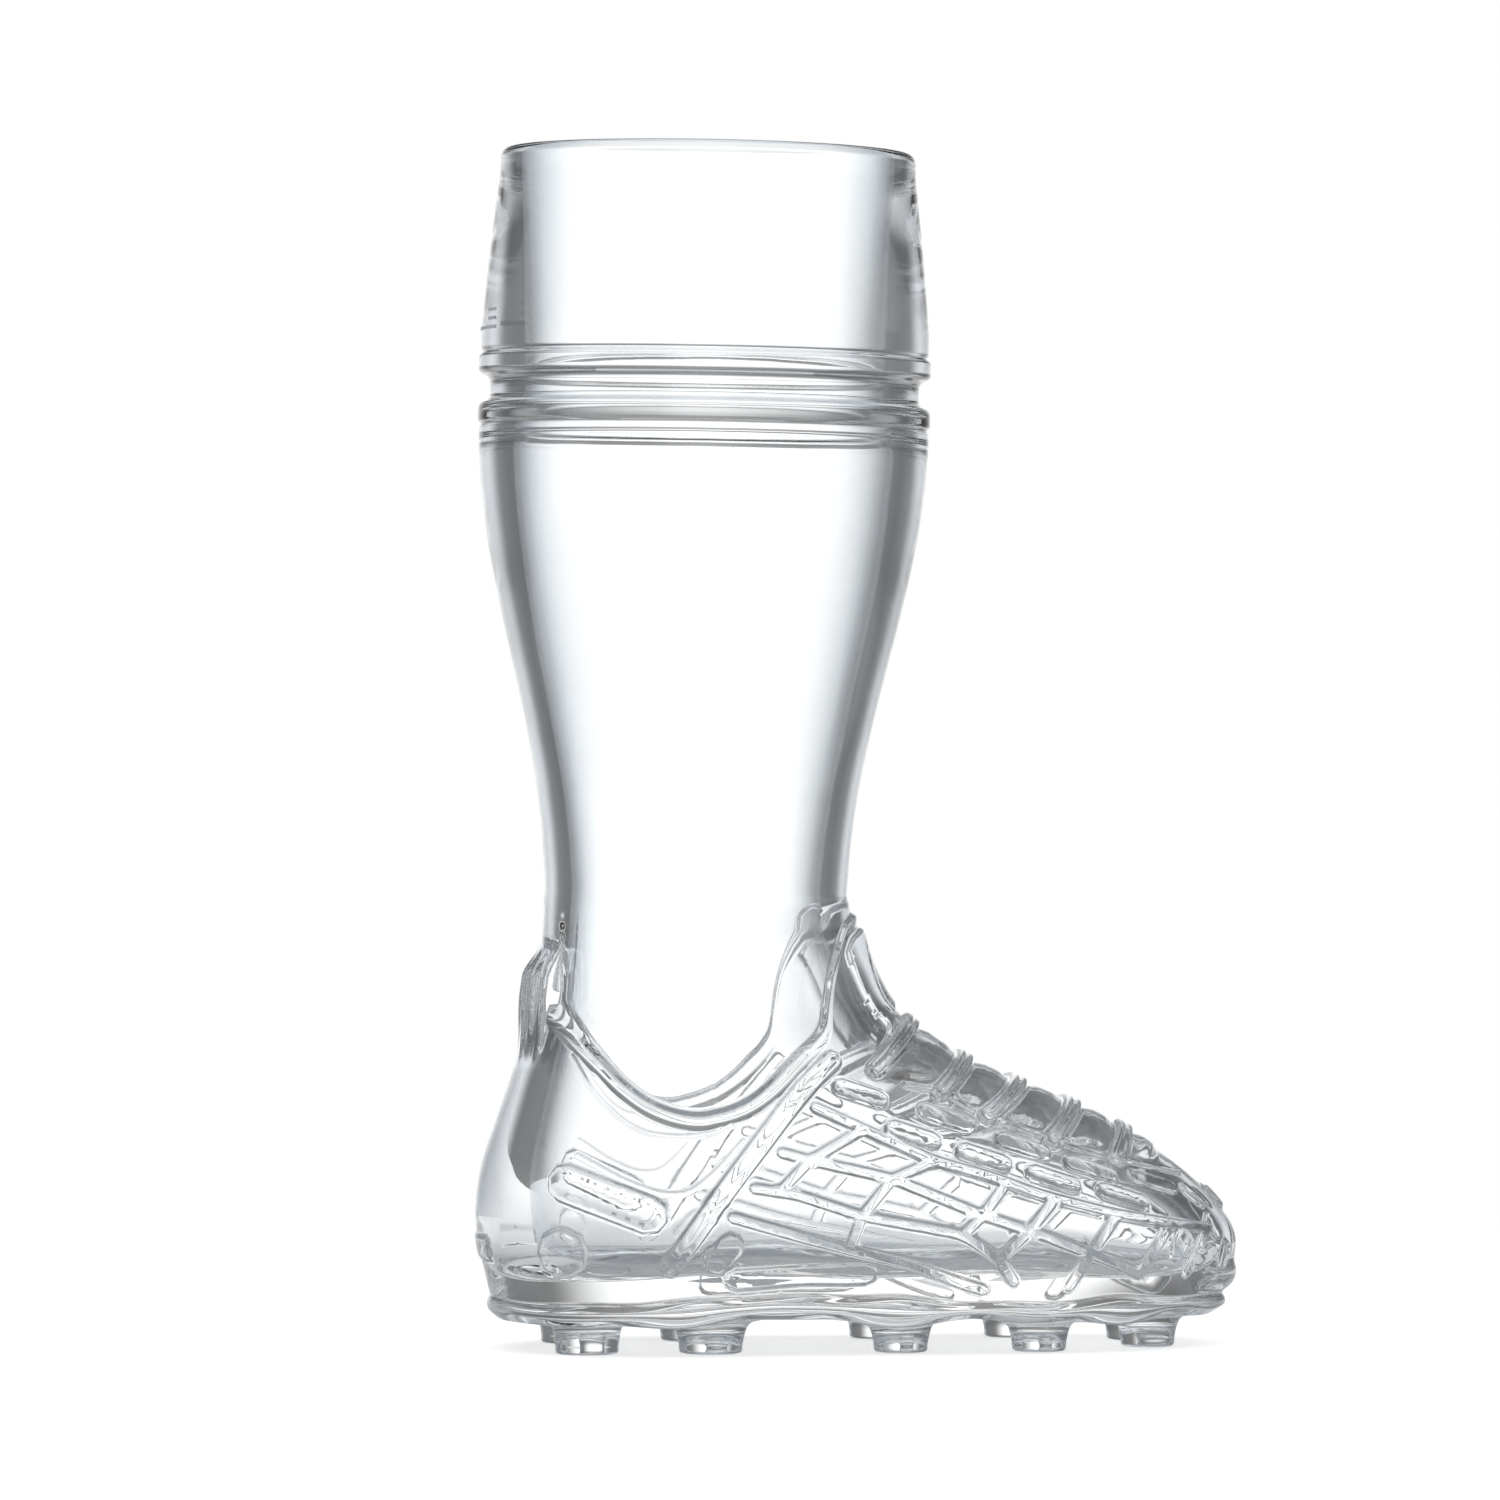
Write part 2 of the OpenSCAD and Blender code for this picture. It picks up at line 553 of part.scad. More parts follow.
// A cross bar stops short of each long line that it meets, by more where it meets it at a slant
function meets(p, a, b) = let (d = unit(b - a), t = (p - a) * d)
    norm(p - a - t * d) < net_w / 2 && t > -net_w / 2 && t < norm(b - a) + net_w / 2;
function pull_back(p, d) = max([for (line = net_line_shares, i = [1 : len(line) - 1]) let (
        a = place(line[i - 1]),
        b = place(line[i]),
        c = abs(unit(b - a) * d))
    meets(p, a, b) ? (net_w / 2 * (1 + c) + bar_gap) / sqrt(1 - c * c) : 0]);
function shortened(a, b) = let (d = unit(b - a)) [a + d * pull_back(a, d), b - d * pull_back(b, d)];
module vamp_net(side) {
    color(glass_edge) {
        for (line = net_line_shares)
            side_bar(along([for (p = line) place(p)], 2), net_w, net_relief, side);
        for (pair = net_cross_shares)
            side_bar(along(shortened(place(pair[0]), place(pair[1])), 3),
                net_w, net_relief, side);
    }
}

module vamp_net_left() {
    vamp_net(1);
}

module vamp_net_right() {
    vamp_net(-1);
}

// Two rows of long pads lie between the laces and the net
eyestay_shares = [[0.477, 0.512], [0.59, 0.45], [0.69, 0.378], [0.78, 0.319], [0.867, 0.284],
    [0.545, 0.41], [0.637, 0.353], [0.728, 0.298], [0.822, 0.251]];
eyestay_length = 10;
eyestay_w = 3;
eyestay_angle = -18;
module eyestay(side) {
    color(glass_clear) for (share = eyestay_shares)
        side_pad(place(share), eyestay_length, eyestay_w, eyestay_angle, pad_relief, side);
}

module eyestay_left() {
    eyestay(1);
}

module eyestay_right() {
    eyestay(-1);
}

// The strap runs from the front of the collar down and back to the sole
strap_shares = [[0.441, 0.592], [0.412, 0.545], [0.381, 0.475], [0.304, 0.283], [0.233, 0.09]];
module side_strap(side) {
    color(glass_edge) side_bar(along([for (p = strap_shares) place(p)], 6),
        strap_w, strap_relief, side);
}

module side_strap_left() {
    side_strap(1);
}

module side_strap_right() {
    side_strap(-1);
}

// A straight strip closes the net below
border_shares = [[0.312, 0.212], [0.635, 0.034]];
module border_strip(side) {
    color(glass_edge) side_bar(along([for (p = border_shares) place(p)], 10),
        net_w, net_relief, side);
}

module border_strip_left() {
    border_strip(1);
}

module border_strip_right() {
    border_strip(-1);
}

// A plain long pad stiffens the rear quarter
quarter_shares = [0.153, 0.257];
quarter_length = 21;
quarter_w = 7;
quarter_angle = -22;
module quarter_pad(side) {
    color(glass_clear) side_pad(place(quarter_shares), quarter_length, quarter_w,
        quarter_angle, pad_relief, side);
}

module quarter_pad_left() {
    quarter_pad(1);
}

module quarter_pad_right() {
    quarter_pad(-1);
}

// Small pads in the window between the strap's foot and the border strip
window_shares = [0.3, 0.122];
window_length = 8;
window_w = 4.4;
window_angle = 52;
module window_pads() {
    color(glass_deep) for (side = [1, -1])
        side_pad(place(window_shares), window_length, window_w, window_angle, pad_relief, side);
}

// Low wedges under the arch, just over the sole
shank_shares = [0.4, 0.055];
shank_length = 26;
shank_w = 4;
shank_angle = 2;
module shank_pads() {
    color(glass_deep) for (side = [1, -1])
        side_pad(place(shank_shares), shank_length, shank_w, shank_angle, pad_relief, side);
}

// The pull tab runs up the back of the heel, over the collar and on to the leg. It has fine ribs.
tab_top_share = 0.885;
tab_foot_share = 0.56;
tab_ribs = 5;
tab_rib_share = 0.12;
tab_end_share = 0.28;
function leg_relief(turn, z) = -collar_depth * (ankle_z - z) / (ankle_z - collar_z(turn));
module heel_tab() {
    columns = 20;
    turn = asin(tab_half_w / side_w(height_at(tab_top_share)));
    over = collar_relief + collar_gap;
    spots = [for (c = [0 : columns]) let (
            s = 2 * c / columns - 1,
            a = s * turn,
            foot = height_at(tab_foot_share),
            low = collar_z(a) - collar_w - collar_gap,
            crest = collar_z(a) + collar_crown + collar_gap,
            top = height_at(tab_top_share),
            rib = 1 - tab_rib_share * (1 - cos(360 * tab_ribs * c / columns)) / 2,
            edge = mix(pad_edge_share, 1, 1 - pow(abs(s), 8)),
            high = over + (tab_relief - over) * rib * edge)
        [[a, foot, seat_gap, tab_relief * tab_end_share * edge],
            [a, mix(foot, low, 0.6), seat_gap, high * 0.8],
            [a, low, seat_gap, high],
            [a, mix(low, crest, 0.4), over, high],
            [a, crest, over, high],
            [a, crest + collar_gap, leg_relief(a, crest + collar_gap), high],
            [a, mix(crest, top, 0.6), leg_relief(a, mix(crest, top, 0.6)), high * 0.8],
            [a, top, leg_relief(a, top), tab_relief * tab_end_share * edge]]];
    base = [for (c = spots) [for (p = c) relief_point(p[0], p[1], p[2])]];
    top = [for (c = spots) [for (p = c) relief_point(p[0], p[1], p[3])]];
    color(glass_edge) slab(base, top);
}

// The clip round the foot of the heel: a square block behind and a rounded pad on each side
clip_centre_share = 0.125;
clip_block_angle = 16;
clip_block_h = 5;
clip_pad_share = 0.098;
clip_pad_length = 9;
clip_pad_w = 8;
module heel_clip() {
    z = height_at(clip_centre_share);
    spots = [for (c = [-1, -0.6, -0.2, 0.2, 0.6, 1]) [for (r = [-1, 0, 1])
        [c * clip_block_angle, z + r * clip_block_h / 2]]];
    base = [for (c = spots) [for (p = c) relief_point(p[0], p[1], seat_gap)]];
    top = [for (c = spots) [for (p = c) relief_point(p[0], p[1], clip_relief)]];
    color(glass_deep) {
        slab(base, top);
        for (side = [1, -1])
            side_pad(place([clip_pad_share, clip_centre_share]), clip_pad_length, clip_pad_w,
                0, clip_relief, side);
    }
}

// The bumper wraps the foot of the toe
bumper_angle = 24;
bumper_share = 0.045;
bumper_h = 5;
module toe_bumper() {
    z = height_at(bumper_share);
    spots = [for (c = [-1, -0.75, -0.5, -0.25, 0, 0.25, 0.5, 0.75, 1]) [for (r = [-1, -0.4, 0.4, 1])
        [180 + c * bumper_angle, z + r * bumper_h / 2,
            bumper_relief * mix(pad_edge_share, 1, (1 - pow(abs(c), 4)) * (1 - r * r))]]];
    base = [for (c = spots) [for (p = c) relief_point(p[0], p[1], seat_gap)]];
    top = [for (c = spots) [for (p = c) relief_point(p[0], p[1], p[2])]];
    color(glass_deep) slab(base, top);
}

// The sole plate is flat on top and below, with a welt that stands out round its edge
sole_bevel_share = 0.55;
sole_inset = 3;
module sole_plate() {
    function plate_ring(z, relief) = [for (a = turns()) let (
            p = ring_point(a, welt_z, back_x(welt_z) - relief, front_x(welt_z) + relief,
                side_w(welt_z) + relief))
        [p[0], p[1], z]];
    rings = [plate_ring(welt_z, 0), plate_ring(welt_z, welt_relief),
        plate_ring(mix(welt_z, stud_h, sole_bevel_share), welt_relief),
        plate_ring(stud_h, -sole_inset)];
    n = ring_points;
    color(glass_clear) polyhedron(points = joined(rings),
        faces = concat(turned(tiles(len(rings), n, true)), cap(0, n),
            turned(cap((len(rings) - 1) * n, n))));
}

// Studs stand in pairs. Each place is a share of the foot from the heel, and of the ball's width.
heel_stud_shares = [[0.136, 0.22], [0.294, 0.25]];
fore_stud_shares = [[0.539, 0.27], [0.719, 0.28], [0.872, 0.13]];
module stud(r) {
    rotate_extrude() polygon([[0, 0], [r - stud_bevel, 0], [r, stud_bevel],
        [r, stud_h / 2], [r + stud_flare / 3, stud_h * 3 / 4], [r + stud_flare, stud_h],
        [0, stud_h]]);
}

module stud_pairs(places, r) {
    color(glass_edge) for (p = places, side = [1, -1])
        translate([foot_x(p[0]), side * p[1] * ball_width, 0]) stud(r);
}

module heel_studs() {
    stud_pairs(heel_stud_shares, heel_stud_r);
}

module forefoot_studs() {
    stud_pairs(fore_stud_shares, fore_stud_r);
}

rim();
cuff();
upper_ring();
ring_groove();
lower_ring();
calf();
fill_marks();
shoe_shell();
ankle_collar();
tongue();
laces();
lace_edge_left();
lace_edge_right();
eyestay_left();
eyestay_right();
vamp_net_left();
vamp_net_right();
side_strap_left();
side_strap_right();
border_strip_left();
border_strip_right();
quarter_pad_left();
quarter_pad_right();
window_pads();
shank_pads();
heel_tab();
heel_clip();
toe_bumper();
sole_plate();
heel_studs();
forefoot_studs();
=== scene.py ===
# %% [markdown]
# A drinking glass in the shape of a football boot. The real one is a single piece of moulded glass:
# a turned leg with a cuff and two rings, a hollow shoe with laces, net and pads in low relief, and
# studs to stand on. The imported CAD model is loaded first, because it fixes every size and place.
# Its nodes are zones of that one piece of glass. Clear glass shows each inner face, so here the
# zones become one closed skin, and that skin takes its sizes from the CAD nodes' boxes.

# %% Load the fixed frame
import math

import bpy
import numpy as np
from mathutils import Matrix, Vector
from mathutils.geometry import delaunay_2d_cdt
from mathutils.kdtree import KDTree


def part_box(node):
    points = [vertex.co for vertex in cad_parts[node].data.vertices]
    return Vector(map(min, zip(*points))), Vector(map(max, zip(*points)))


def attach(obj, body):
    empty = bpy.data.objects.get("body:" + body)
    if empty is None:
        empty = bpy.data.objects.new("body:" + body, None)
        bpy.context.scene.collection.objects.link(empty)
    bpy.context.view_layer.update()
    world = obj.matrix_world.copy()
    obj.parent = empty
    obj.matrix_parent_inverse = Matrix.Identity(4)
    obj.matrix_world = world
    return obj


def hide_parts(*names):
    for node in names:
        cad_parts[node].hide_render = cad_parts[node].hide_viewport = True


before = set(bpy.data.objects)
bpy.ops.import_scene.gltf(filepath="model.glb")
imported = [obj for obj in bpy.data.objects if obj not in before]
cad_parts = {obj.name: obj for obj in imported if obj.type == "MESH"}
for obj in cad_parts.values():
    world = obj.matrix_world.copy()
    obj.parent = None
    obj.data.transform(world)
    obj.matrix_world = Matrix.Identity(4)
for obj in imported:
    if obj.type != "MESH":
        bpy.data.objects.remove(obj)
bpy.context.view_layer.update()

MM = 0.001

# %% [markdown]
# The photograph was taken from the boot's right side, a little from behind, with the camera level
# with the middle of the leg and far away. A long lens from 1.55 metres gives the same flat view.
# The lens shift only puts the boot where the photograph has it.

# %% Camera
view_turn = math.radians(7.2)
camera_far, camera_z = 1.55, 0.113
lens = bpy.data.cameras.new("camera")
lens.sensor_width = 36
lens.lens = 36 * camera_far / (1500 * 0.172 * MM)
lens.shift_x = -(858.25 - 750) / 1500
lens.shift_y = -(750 - 688) / 1500
camera = bpy.data.objects.new("camera", lens)
camera.location = (-math.sin(view_turn) * camera_far, -math.cos(view_turn) * camera_far, camera_z)
camera.rotation_euler = (math.pi / 2, 0, -view_turn)
bpy.context.scene.collection.objects.link(camera)
bpy.context.scene.camera = camera
print("lens", round(lens.lens, 1), "mm")

# %% [markdown]
# The sizes that drive the glass are read from the boxes of the CAD nodes. A leg band that leans is
# a little higher on one side, so its box is narrowed by that much to give its true ends. Widths and
# walls that no box shows are those of the CAD source.

# %% Sizes from the frame
def node_low(node):
    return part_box(node)[0] / MM


def node_high(node):
    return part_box(node)[1] / MM


heel_x, toe_x = node_low("shoe_shell").x, node_high("shoe_shell").x
stud_h, welt_z = node_low("sole_plate").z, node_high("sole_plate").z
ankle_z = (node_low("calf").z + node_high("shoe_shell").z) / 2
ring_middle = (node_low("lower_ring") + node_high("lower_ring")) / 2
rim_middle = (node_low("rim") + node_high("rim")) / 2
lean = math.atan2(rim_middle.x - ring_middle.x, rim_middle.z - ring_middle.z)
leg_x = ring_middle.x - (ring_middle.z - ankle_z) * math.tan(lean)
calf_r, ring_r = node_high("calf").y, node_high("lower_ring").y
groove_r, cuff_r = node_high("ring_groove").y, node_high("cuff").y
mouth_r = node_high("rim").y


def band_ends(node, radius):
    drop = radius * math.sin(lean)
    return node_low(node).z + drop, node_high(node).z - drop


lower_z, groove_z = band_ends("lower_ring", ring_r)
upper_z, cuff_z = band_ends("upper_ring", ring_r)
rim_z, top_z = band_ends("rim", mouth_r)
ankle_r, heel_width, ball_width, waist_pinch = 26, 57, 61, 1.2
ankle_wall, heel_wall, heel_extra, instep_wall, instep_lift = 4.7, 6.5, 2.5, 4.7, 4
floor_z, floor_r, floor_inset = 13.5, 6, 2.5
print("foot", round(heel_x, 2), round(toe_x, 2), "leg axis", round(leg_x, 2), "lean",
      round(math.degrees(lean), 3), "levels", [round(v, 2) for v in (
          stud_h, welt_z, ankle_z, lower_z, groove_z, upper_z, cuff_z, rim_z, top_z)])

# %% [markdown]
# The shoe is drawn as rings, one over another. Tables give the rear, the front and the half width
# of the ring at each level, as shares. Glass shows every kink as a line of light, so each table is
# read with its corners rounded off by a running mean with soft weights. At its two ends a table
# goes on turned over, so that the end values hold.

# %% Tables with rounded corners
def rounded_table(pairs, spread=0.022, even=False):
    """Reads a table with rounded corners, and an even one goes on mirrored at its ends"""
    place, share = np.array(pairs, float).T
    sign = 1 if even else -1
    place = np.concatenate([2 * place[0] - place[:0:-1], place, 2 * place[-1] - place[-2::-1]])
    share = np.concatenate([(1 - sign) * share[0] + sign * share[:0:-1], share,
                            (1 - sign) * share[-1] + sign * share[-2::-1]])
    middle = len(pairs) - 1
    fine = np.linspace(place[middle], place[2 * middle], 2401)
    steps = np.linspace(-3, 3, 61)
    weights = np.exp(-steps ** 2 / 2)
    weights /= weights.sum()
    mean = sum(w * np.interp(fine + s * spread, place, share) for s, w in zip(steps, weights))
    return lambda at: np.interp(at, fine, mean)


heel_line = rounded_table([
    [0, 0.22], [0.05, 0.15], [0.125, 0.05], [0.197, 0], [0.255, 0.015], [0.313, 0.07],
    [0.371, 0.17], [0.429, 0.285], [0.487, 0.4], [0.545, 0.52], [0.603, 0.635], [0.661, 0.75],
    [0.734, 0.87], [0.87, 0.955], [1, 1]])
toe_line = rounded_table([
    [0, 0.96], [0.055, 0.985], [0.13, 1], [0.172, 0.985], [0.218, 0.95], [0.268, 0.905],
    [0.32, 0.845], [0.366, 0.772], [0.417, 0.686], [0.465, 0.582], [0.514, 0.455],
    [0.566, 0.328], [0.617, 0.235], [0.675, 0.156], [0.725, 0.104], [0.805, 0.062],
    [0.9, 0.032], [1, 0]])
side_line = rounded_table([
    [0, 0.4], [0.07, 0.72], [0.16, 0.95], [0.25, 1], [0.4, 0.95], [0.5, 0.82], [0.6, 0.64],
    [0.75, 0.38], [0.88, 0.15], [1, 0]])
waist_and_ball = rounded_table([
    [0, 0], [0.16, -0.6], [0.3, -1], [0.42, -0.2], [0.56, 0.8], [0.68, 1], [1, 1]], 0.04)
collar_line = rounded_table([
    [0, 0.735], [0.1, 0.745], [0.13, 0.741], [0.211, 0.685], [0.284, 0.609], [0.341, 0.542],
    [0.387, 0.498], [0.427, 0.473], [0.466, 0.46], [0.5, 0.462], [0.527, 0.486], [0.549, 0.524],
    [0.588, 0.586], [0.635, 0.634], [0.674, 0.669], [0.71, 0.735], [0.746, 0.812],
    [0.803, 0.89], [0.842, 0.925], [0.92, 0.945], [1, 0.95]], 0.014, even=True)
print("rounded tables read at half height", heel_line(0.5), toe_line(0.5), side_line(0.5))


# %% Rear, front and half width at each level
def mix(a, b, t):
    return a + (b - a) * t


def soft(t):
    t = np.clip(t, 0, 1)
    return t * t * (3 - 2 * t)


def level(z):
    return np.clip((z - welt_z) / (ankle_z - welt_z), 0, 1)


def height_at(share):
    return mix(welt_z, ankle_z, share)


def back_x(z):
    return mix(heel_x, leg_x - ankle_r, heel_line(level(z)))


def front_x(z):
    return mix(leg_x + ankle_r, toe_x, toe_line(level(z)))


def half_w(z):
    return mix(ankle_r, heel_width / 2, side_line(level(z)))


print("rear, front and half width at 30 mm", [round(float(line(30.0)), 2)
                                              for line in (back_x, front_x, half_w)])


# %% Rings of the shoe
def ring(turn, z, rear, front, half):
    s = -np.cos(turn)
    x = leg_x + s * np.where(s < 0, leg_x - rear, front - leg_x)
    pinch = waist_and_ball((x - leg_x) / (toe_x - leg_x))
    growth = pinch * np.where(pinch < 0, waist_pinch, (ball_width - heel_width) / 2)
    growth = growth * (1 - soft((level(z) - 0.25) / 0.5))
    square = np.where(s < 0, mix(2.5, 2, soft(level(z) / 0.8)),
                      mix(4, 2, soft((level(z) - 0.12) / 0.62)))
    crest = 2 - 0.35 * soft((level(z) - 0.15) / 0.25) * soft((0.95 - level(z)) / 0.3)
    full = np.maximum(0, 1 - np.abs(s) ** square) ** (1 / np.where(s < 0, 2, crest))
    y = (half + growth) * full
    return np.stack(np.broadcast_arrays(x, np.where(np.sin(turn) < 0, -y, y), z), -1)


def skin(turn, z):
    return ring(turn, z, back_x(z), front_x(z), half_w(z))


print("heel, toe and sides", skin(0.0, 22.0).round(2), skin(math.pi, 18.0).round(2),
      skin(math.pi / 2, 26.0).round(2))


# %% Directions on the skin
def slopes(turn, z):
    a, h = math.radians(1), 0.39
    along = (skin(turn + a, z) - skin(turn - a, z)) / (2 * a)
    up = (skin(turn, z + h) - skin(turn, z - h)) / (2 * h)
    return along, up


def outward(turn, z):
    along, up = slopes(turn, z)
    across = np.cross(up, along)
    return across / np.linalg.norm(across, axis=-1, keepdims=True)


def leaned(points):
    """Leans points with the leg, gradually over the top of the shoe"""
    points = np.array(points, float)
    part = soft((points[..., 2] - height_at(0.86)) / (ankle_z - height_at(0.86))) * lean
    x, z = points[..., 0] - leg_x, points[..., 2] - ankle_z
    points[..., 0] = leg_x + x * np.cos(part) + z * np.sin(part)
    points[..., 2] = ankle_z - x * np.sin(part) + z * np.cos(part)
    return points


print("out of the toe points", outward(math.pi, 18.0).round(2))

# %% [markdown]
# The relief is moulded in the glass, so it is a height over the skin and not a set of loose parts.
# Each raised line, lace or pad is a centre line with a width, and a point of the skin rises by how
# near it is to that line. Where two lines meet, the higher one wins, which joins them without a
# seam. All lines are drawn in the side view, as shares of the foot and of the shoe's height.

# %% Places on the shoe
ankle_front_share = 0.484


def foot_x(share):
    share = np.asarray(share, float)
    before = (share - ankle_front_share) / (1 - ankle_front_share)
    return np.where(share < ankle_front_share,
                    mix(heel_x, leg_x + ankle_r, share / ankle_front_share),
                    mix(leg_x + ankle_r, toe_x, before))


def places(shares):
    shares = np.array(shares, float)
    return np.stack([foot_x(shares[:, 0]), height_at(shares[:, 1])], -1)


def turn_at(x, z):
    reach = np.where(x < leg_x, leg_x - back_x(z), front_x(z) - leg_x)
    return np.arccos(-np.clip((x - leg_x) / reach, -1, 1))


ridge_levels = np.linspace(height_at(0.13), ankle_z, 900)


def ridge_z(x):
    return np.interp(-x, -front_x(ridge_levels), ridge_levels)


print("ridge of the instep at 0.6 and 0.8 of the foot", ridge_z(foot_x([0.6, 0.8])).round(2))


# %% Raised lines
def even_steps(line, pitch):
    """Puts points at an even pitch along a line"""
    line = np.array(line, float)
    run = np.concatenate([[0], np.cumsum(np.linalg.norm(np.diff(line, axis=0), axis=1))])
    count = max(2, round(run[-1] / pitch) + 1)
    at = np.linspace(0, run[-1], count)
    return np.stack([np.interp(at, run, column) for column in line.T], -1)


def eased(line, times=6):
    """Rounds the corners of a line and keeps its ends"""
    line = even_steps(line, 0.8)
    for _ in range(times):
        line[1:-1] = (line[:-2] + 2 * line[1:-1] + line[2:]) / 4
    return line


print("a corner of 8 by 8 mm eased to", len(eased([[0, 8], [0, 0], [8, 0]])), "points")
raised = []


def raise_line(name, turns, heights, width, relief, edge, crown=0.0, hollow=0.0):
    raised.append(dict(name=name, turns=np.asarray(turns), heights=np.asarray(heights),
                       points=skin(np.asarray(turns), np.asarray(heights)),
                       half=width / 2, relief=relief, edge=edge, crown=crown, hollow=hollow))


def raise_side(name, line, *sizes, **forms):
    line = eased(line)
    raise_line(name, turn_at(line[:, 0], line[:, 1]), line[:, 1], *sizes, **forms)


def raise_pad(name, share, length, width, slope, *sizes, **forms):
    middle = places([share])[0]
    run = np.array([math.cos(math.radians(slope)), math.sin(math.radians(slope))])
    reach = (length - width) / 2
    raise_side(name, [middle - run * reach, middle + run * reach], width, *sizes, **forms)


# %% [markdown]
# The laces are five bars over the ridge of the instep. In the side view each bar falls and sweeps
# back from the ridge, and the first is the longest. Each is a place along the foot, then how far
# it sweeps and how far it falls, in millimetres.

# %% Laces
laces = [(0.566, 8.9, 7.6), (0.637, 6.8, 5.3), (0.708, 8.3, 5.2), (0.779, 6.6, 5.6),
         (0.846, 3.4, 4.6)]
for share, sweep, drop in laces:
    t = np.linspace(0, 1, 16)
    x = foot_x(share) - sweep * t * t
    z = ridge_z(foot_x(share)) - drop * t * t
    turns = np.where(t == 0, math.pi, turn_at(x, z))
    raise_line("lace", turns, z, 3, 1.35, 0.8, hollow=0.45)
print("laces", len(raised))

# %% [markdown]
# On each side a net of thin bars covers the vamp: long lines run to the toe and short ones cross
# them. A thin edge under the laces, a straight border strip and a diagonal strap frame it.

# %% Net, edge, strap and strip
net_lines = [
    [[0.418, 0.48], [0.48, 0.426], [0.572, 0.346], [0.641, 0.309], [0.714, 0.258],
     [0.805, 0.212], [0.885, 0.183], [0.94, 0.165]],
    [[0.375, 0.37], [0.411, 0.351], [0.518, 0.304], [0.634, 0.213], [0.711, 0.164],
     [0.776, 0.116], [0.842, 0.058]],
    [[0.34, 0.283], [0.395, 0.267], [0.478, 0.213], [0.609, 0.167], [0.656, 0.105],
     [0.674, 0.052]]]
net_crosses = [
    [[0.48, 0.426], [0.411, 0.351]], [[0.411, 0.351], [0.372, 0.275]],
    [[0.572, 0.346], [0.518, 0.304]], [[0.518, 0.304], [0.478, 0.213]],
    [[0.478, 0.213], [0.465, 0.145]], [[0.665, 0.291], [0.634, 0.213]],
    [[0.634, 0.213], [0.609, 0.167]], [[0.728, 0.25], [0.694, 0.175]],
    [[0.694, 0.175], [0.656, 0.108]], [[0.812, 0.21], [0.776, 0.116]],
    [[0.776, 0.116], [0.748, 0.04]], [[0.885, 0.183], [0.842, 0.058]],
    [[0.94, 0.165], [0.91, 0.06]]]
for line in net_lines + net_crosses:
    raise_side("net", places(line), 1.7, 0.62, 0.7)
lace_edge = places([
    [0.54, 0.53], [0.585, 0.513], [0.62, 0.474], [0.66, 0.438], [0.7, 0.414], [0.744, 0.38],
    [0.79, 0.355], [0.83, 0.338], [0.865, 0.322], [0.91, 0.3]])
raise_side("lace edge", lace_edge, 1.3, 0.6, 0.6)
raise_side("border strip", places([[0.312, 0.212], [0.635, 0.034]]), 1.8, 0.62, 0.7)
raise_side("strap", places([[0.441, 0.592], [0.412, 0.545], [0.381, 0.475], [0.304, 0.283],
                            [0.233, 0.09]]), 3.4, 0.85, 0.8, hollow=0.3)
raise_side("seam", places([[0.113, 0.606], [0.135, 0.522], [0.171, 0.451], [0.201, 0.418],
                           [0.245, 0.41], [0.29, 0.42], [0.33, 0.46]]), 0.7, 0.16, 0.5)
raise_side("seam", places([[0.117, 0.364], [0.143, 0.337], [0.172, 0.305], [0.219, 0.271],
                           [0.255, 0.271], [0.29, 0.325], [0.325, 0.4]]), 0.7, 0.16, 0.5)
print("raised lines", len(raised))

# %% [markdown]
# Flat pads with round ends fill the space between the laces and the net. A long pad with a raised
# outline lies on the heel, and small plain pads lie in the window below the strap, under the arch
# and at the foot of the heel.

# %% Pads
for share in [[0.477, 0.512], [0.59, 0.45], [0.69, 0.378], [0.78, 0.319], [0.867, 0.284],
              [0.545, 0.41], [0.637, 0.353], [0.728, 0.298], [0.822, 0.251]]:
    raise_pad("eyestay", share, 10, 3, -18, 0.5, 0.9, crown=0.2)
raise_pad("quarter pad", [0.153, 0.257], 21, 6.4, -21, 0.7, 0.8, hollow=0.45)
raise_pad("window pad", [0.3, 0.122], 8, 4.4, 52, 0.6, 1.1)
raise_pad("shank pad", [0.4, 0.055], 26, 4, 2, 0.6, 1.2)
for share, length, slope in [
        ([0.925, 0.245], 6, -40), ([0.95, 0.17], 5, -62), ([0.935, 0.1], 6, 20),
        ([0.967, 0.1], 5, 75), ([0.9, 0.13], 6, 60), ([0.962, 0.235], 5, -50)]:
    raise_pad("toe pad", share, length, 3, slope, 0.55, 0.9, crown=0.3)
raise_pad("clip pad", [0.098, 0.125], 9, 8, 0, 0.5, 0.8, hollow=0.2)
print("raised lines and pads", len(raised))


# %% Height of the raised lines over the skin
def line_distance(points, line, reach):
    """Distance from each point to a line, with everything past the reach left at the reach"""
    far = np.full(len(points), float(reach))
    near = (points > line.min(0) - reach) & (points < line.max(0) + reach)
    near = np.flatnonzero(near.all(1))
    some = points[near]
    best = np.full(len(near), float(reach))
    for a, b in zip(line[:-1], line[1:]):
        run = b - a
        t = np.clip((some - a) @ run / max(run @ run, 1e-12), 0, 1)
        best = np.minimum(best, np.linalg.norm(some - a - t[:, None] * run, axis=1))
    far[near] = best
    return far


def line_height(item, distance):
    rise = soft((item["half"] + item["edge"] / 2 - distance) / item["edge"])
    crown = item["crown"] * np.sqrt(np.clip(1 - (distance / item["half"]) ** 2, 0, 1))
    dip = item["hollow"] * soft((item["half"] - 1.1 - distance) / 0.7)
    return item["relief"] * rise + crown - dip


print("height of a lace from its middle out",
      [round(float(line_height(raised[0], away)), 2) for away in (0, 0.5, 1, 1.5, 2)])

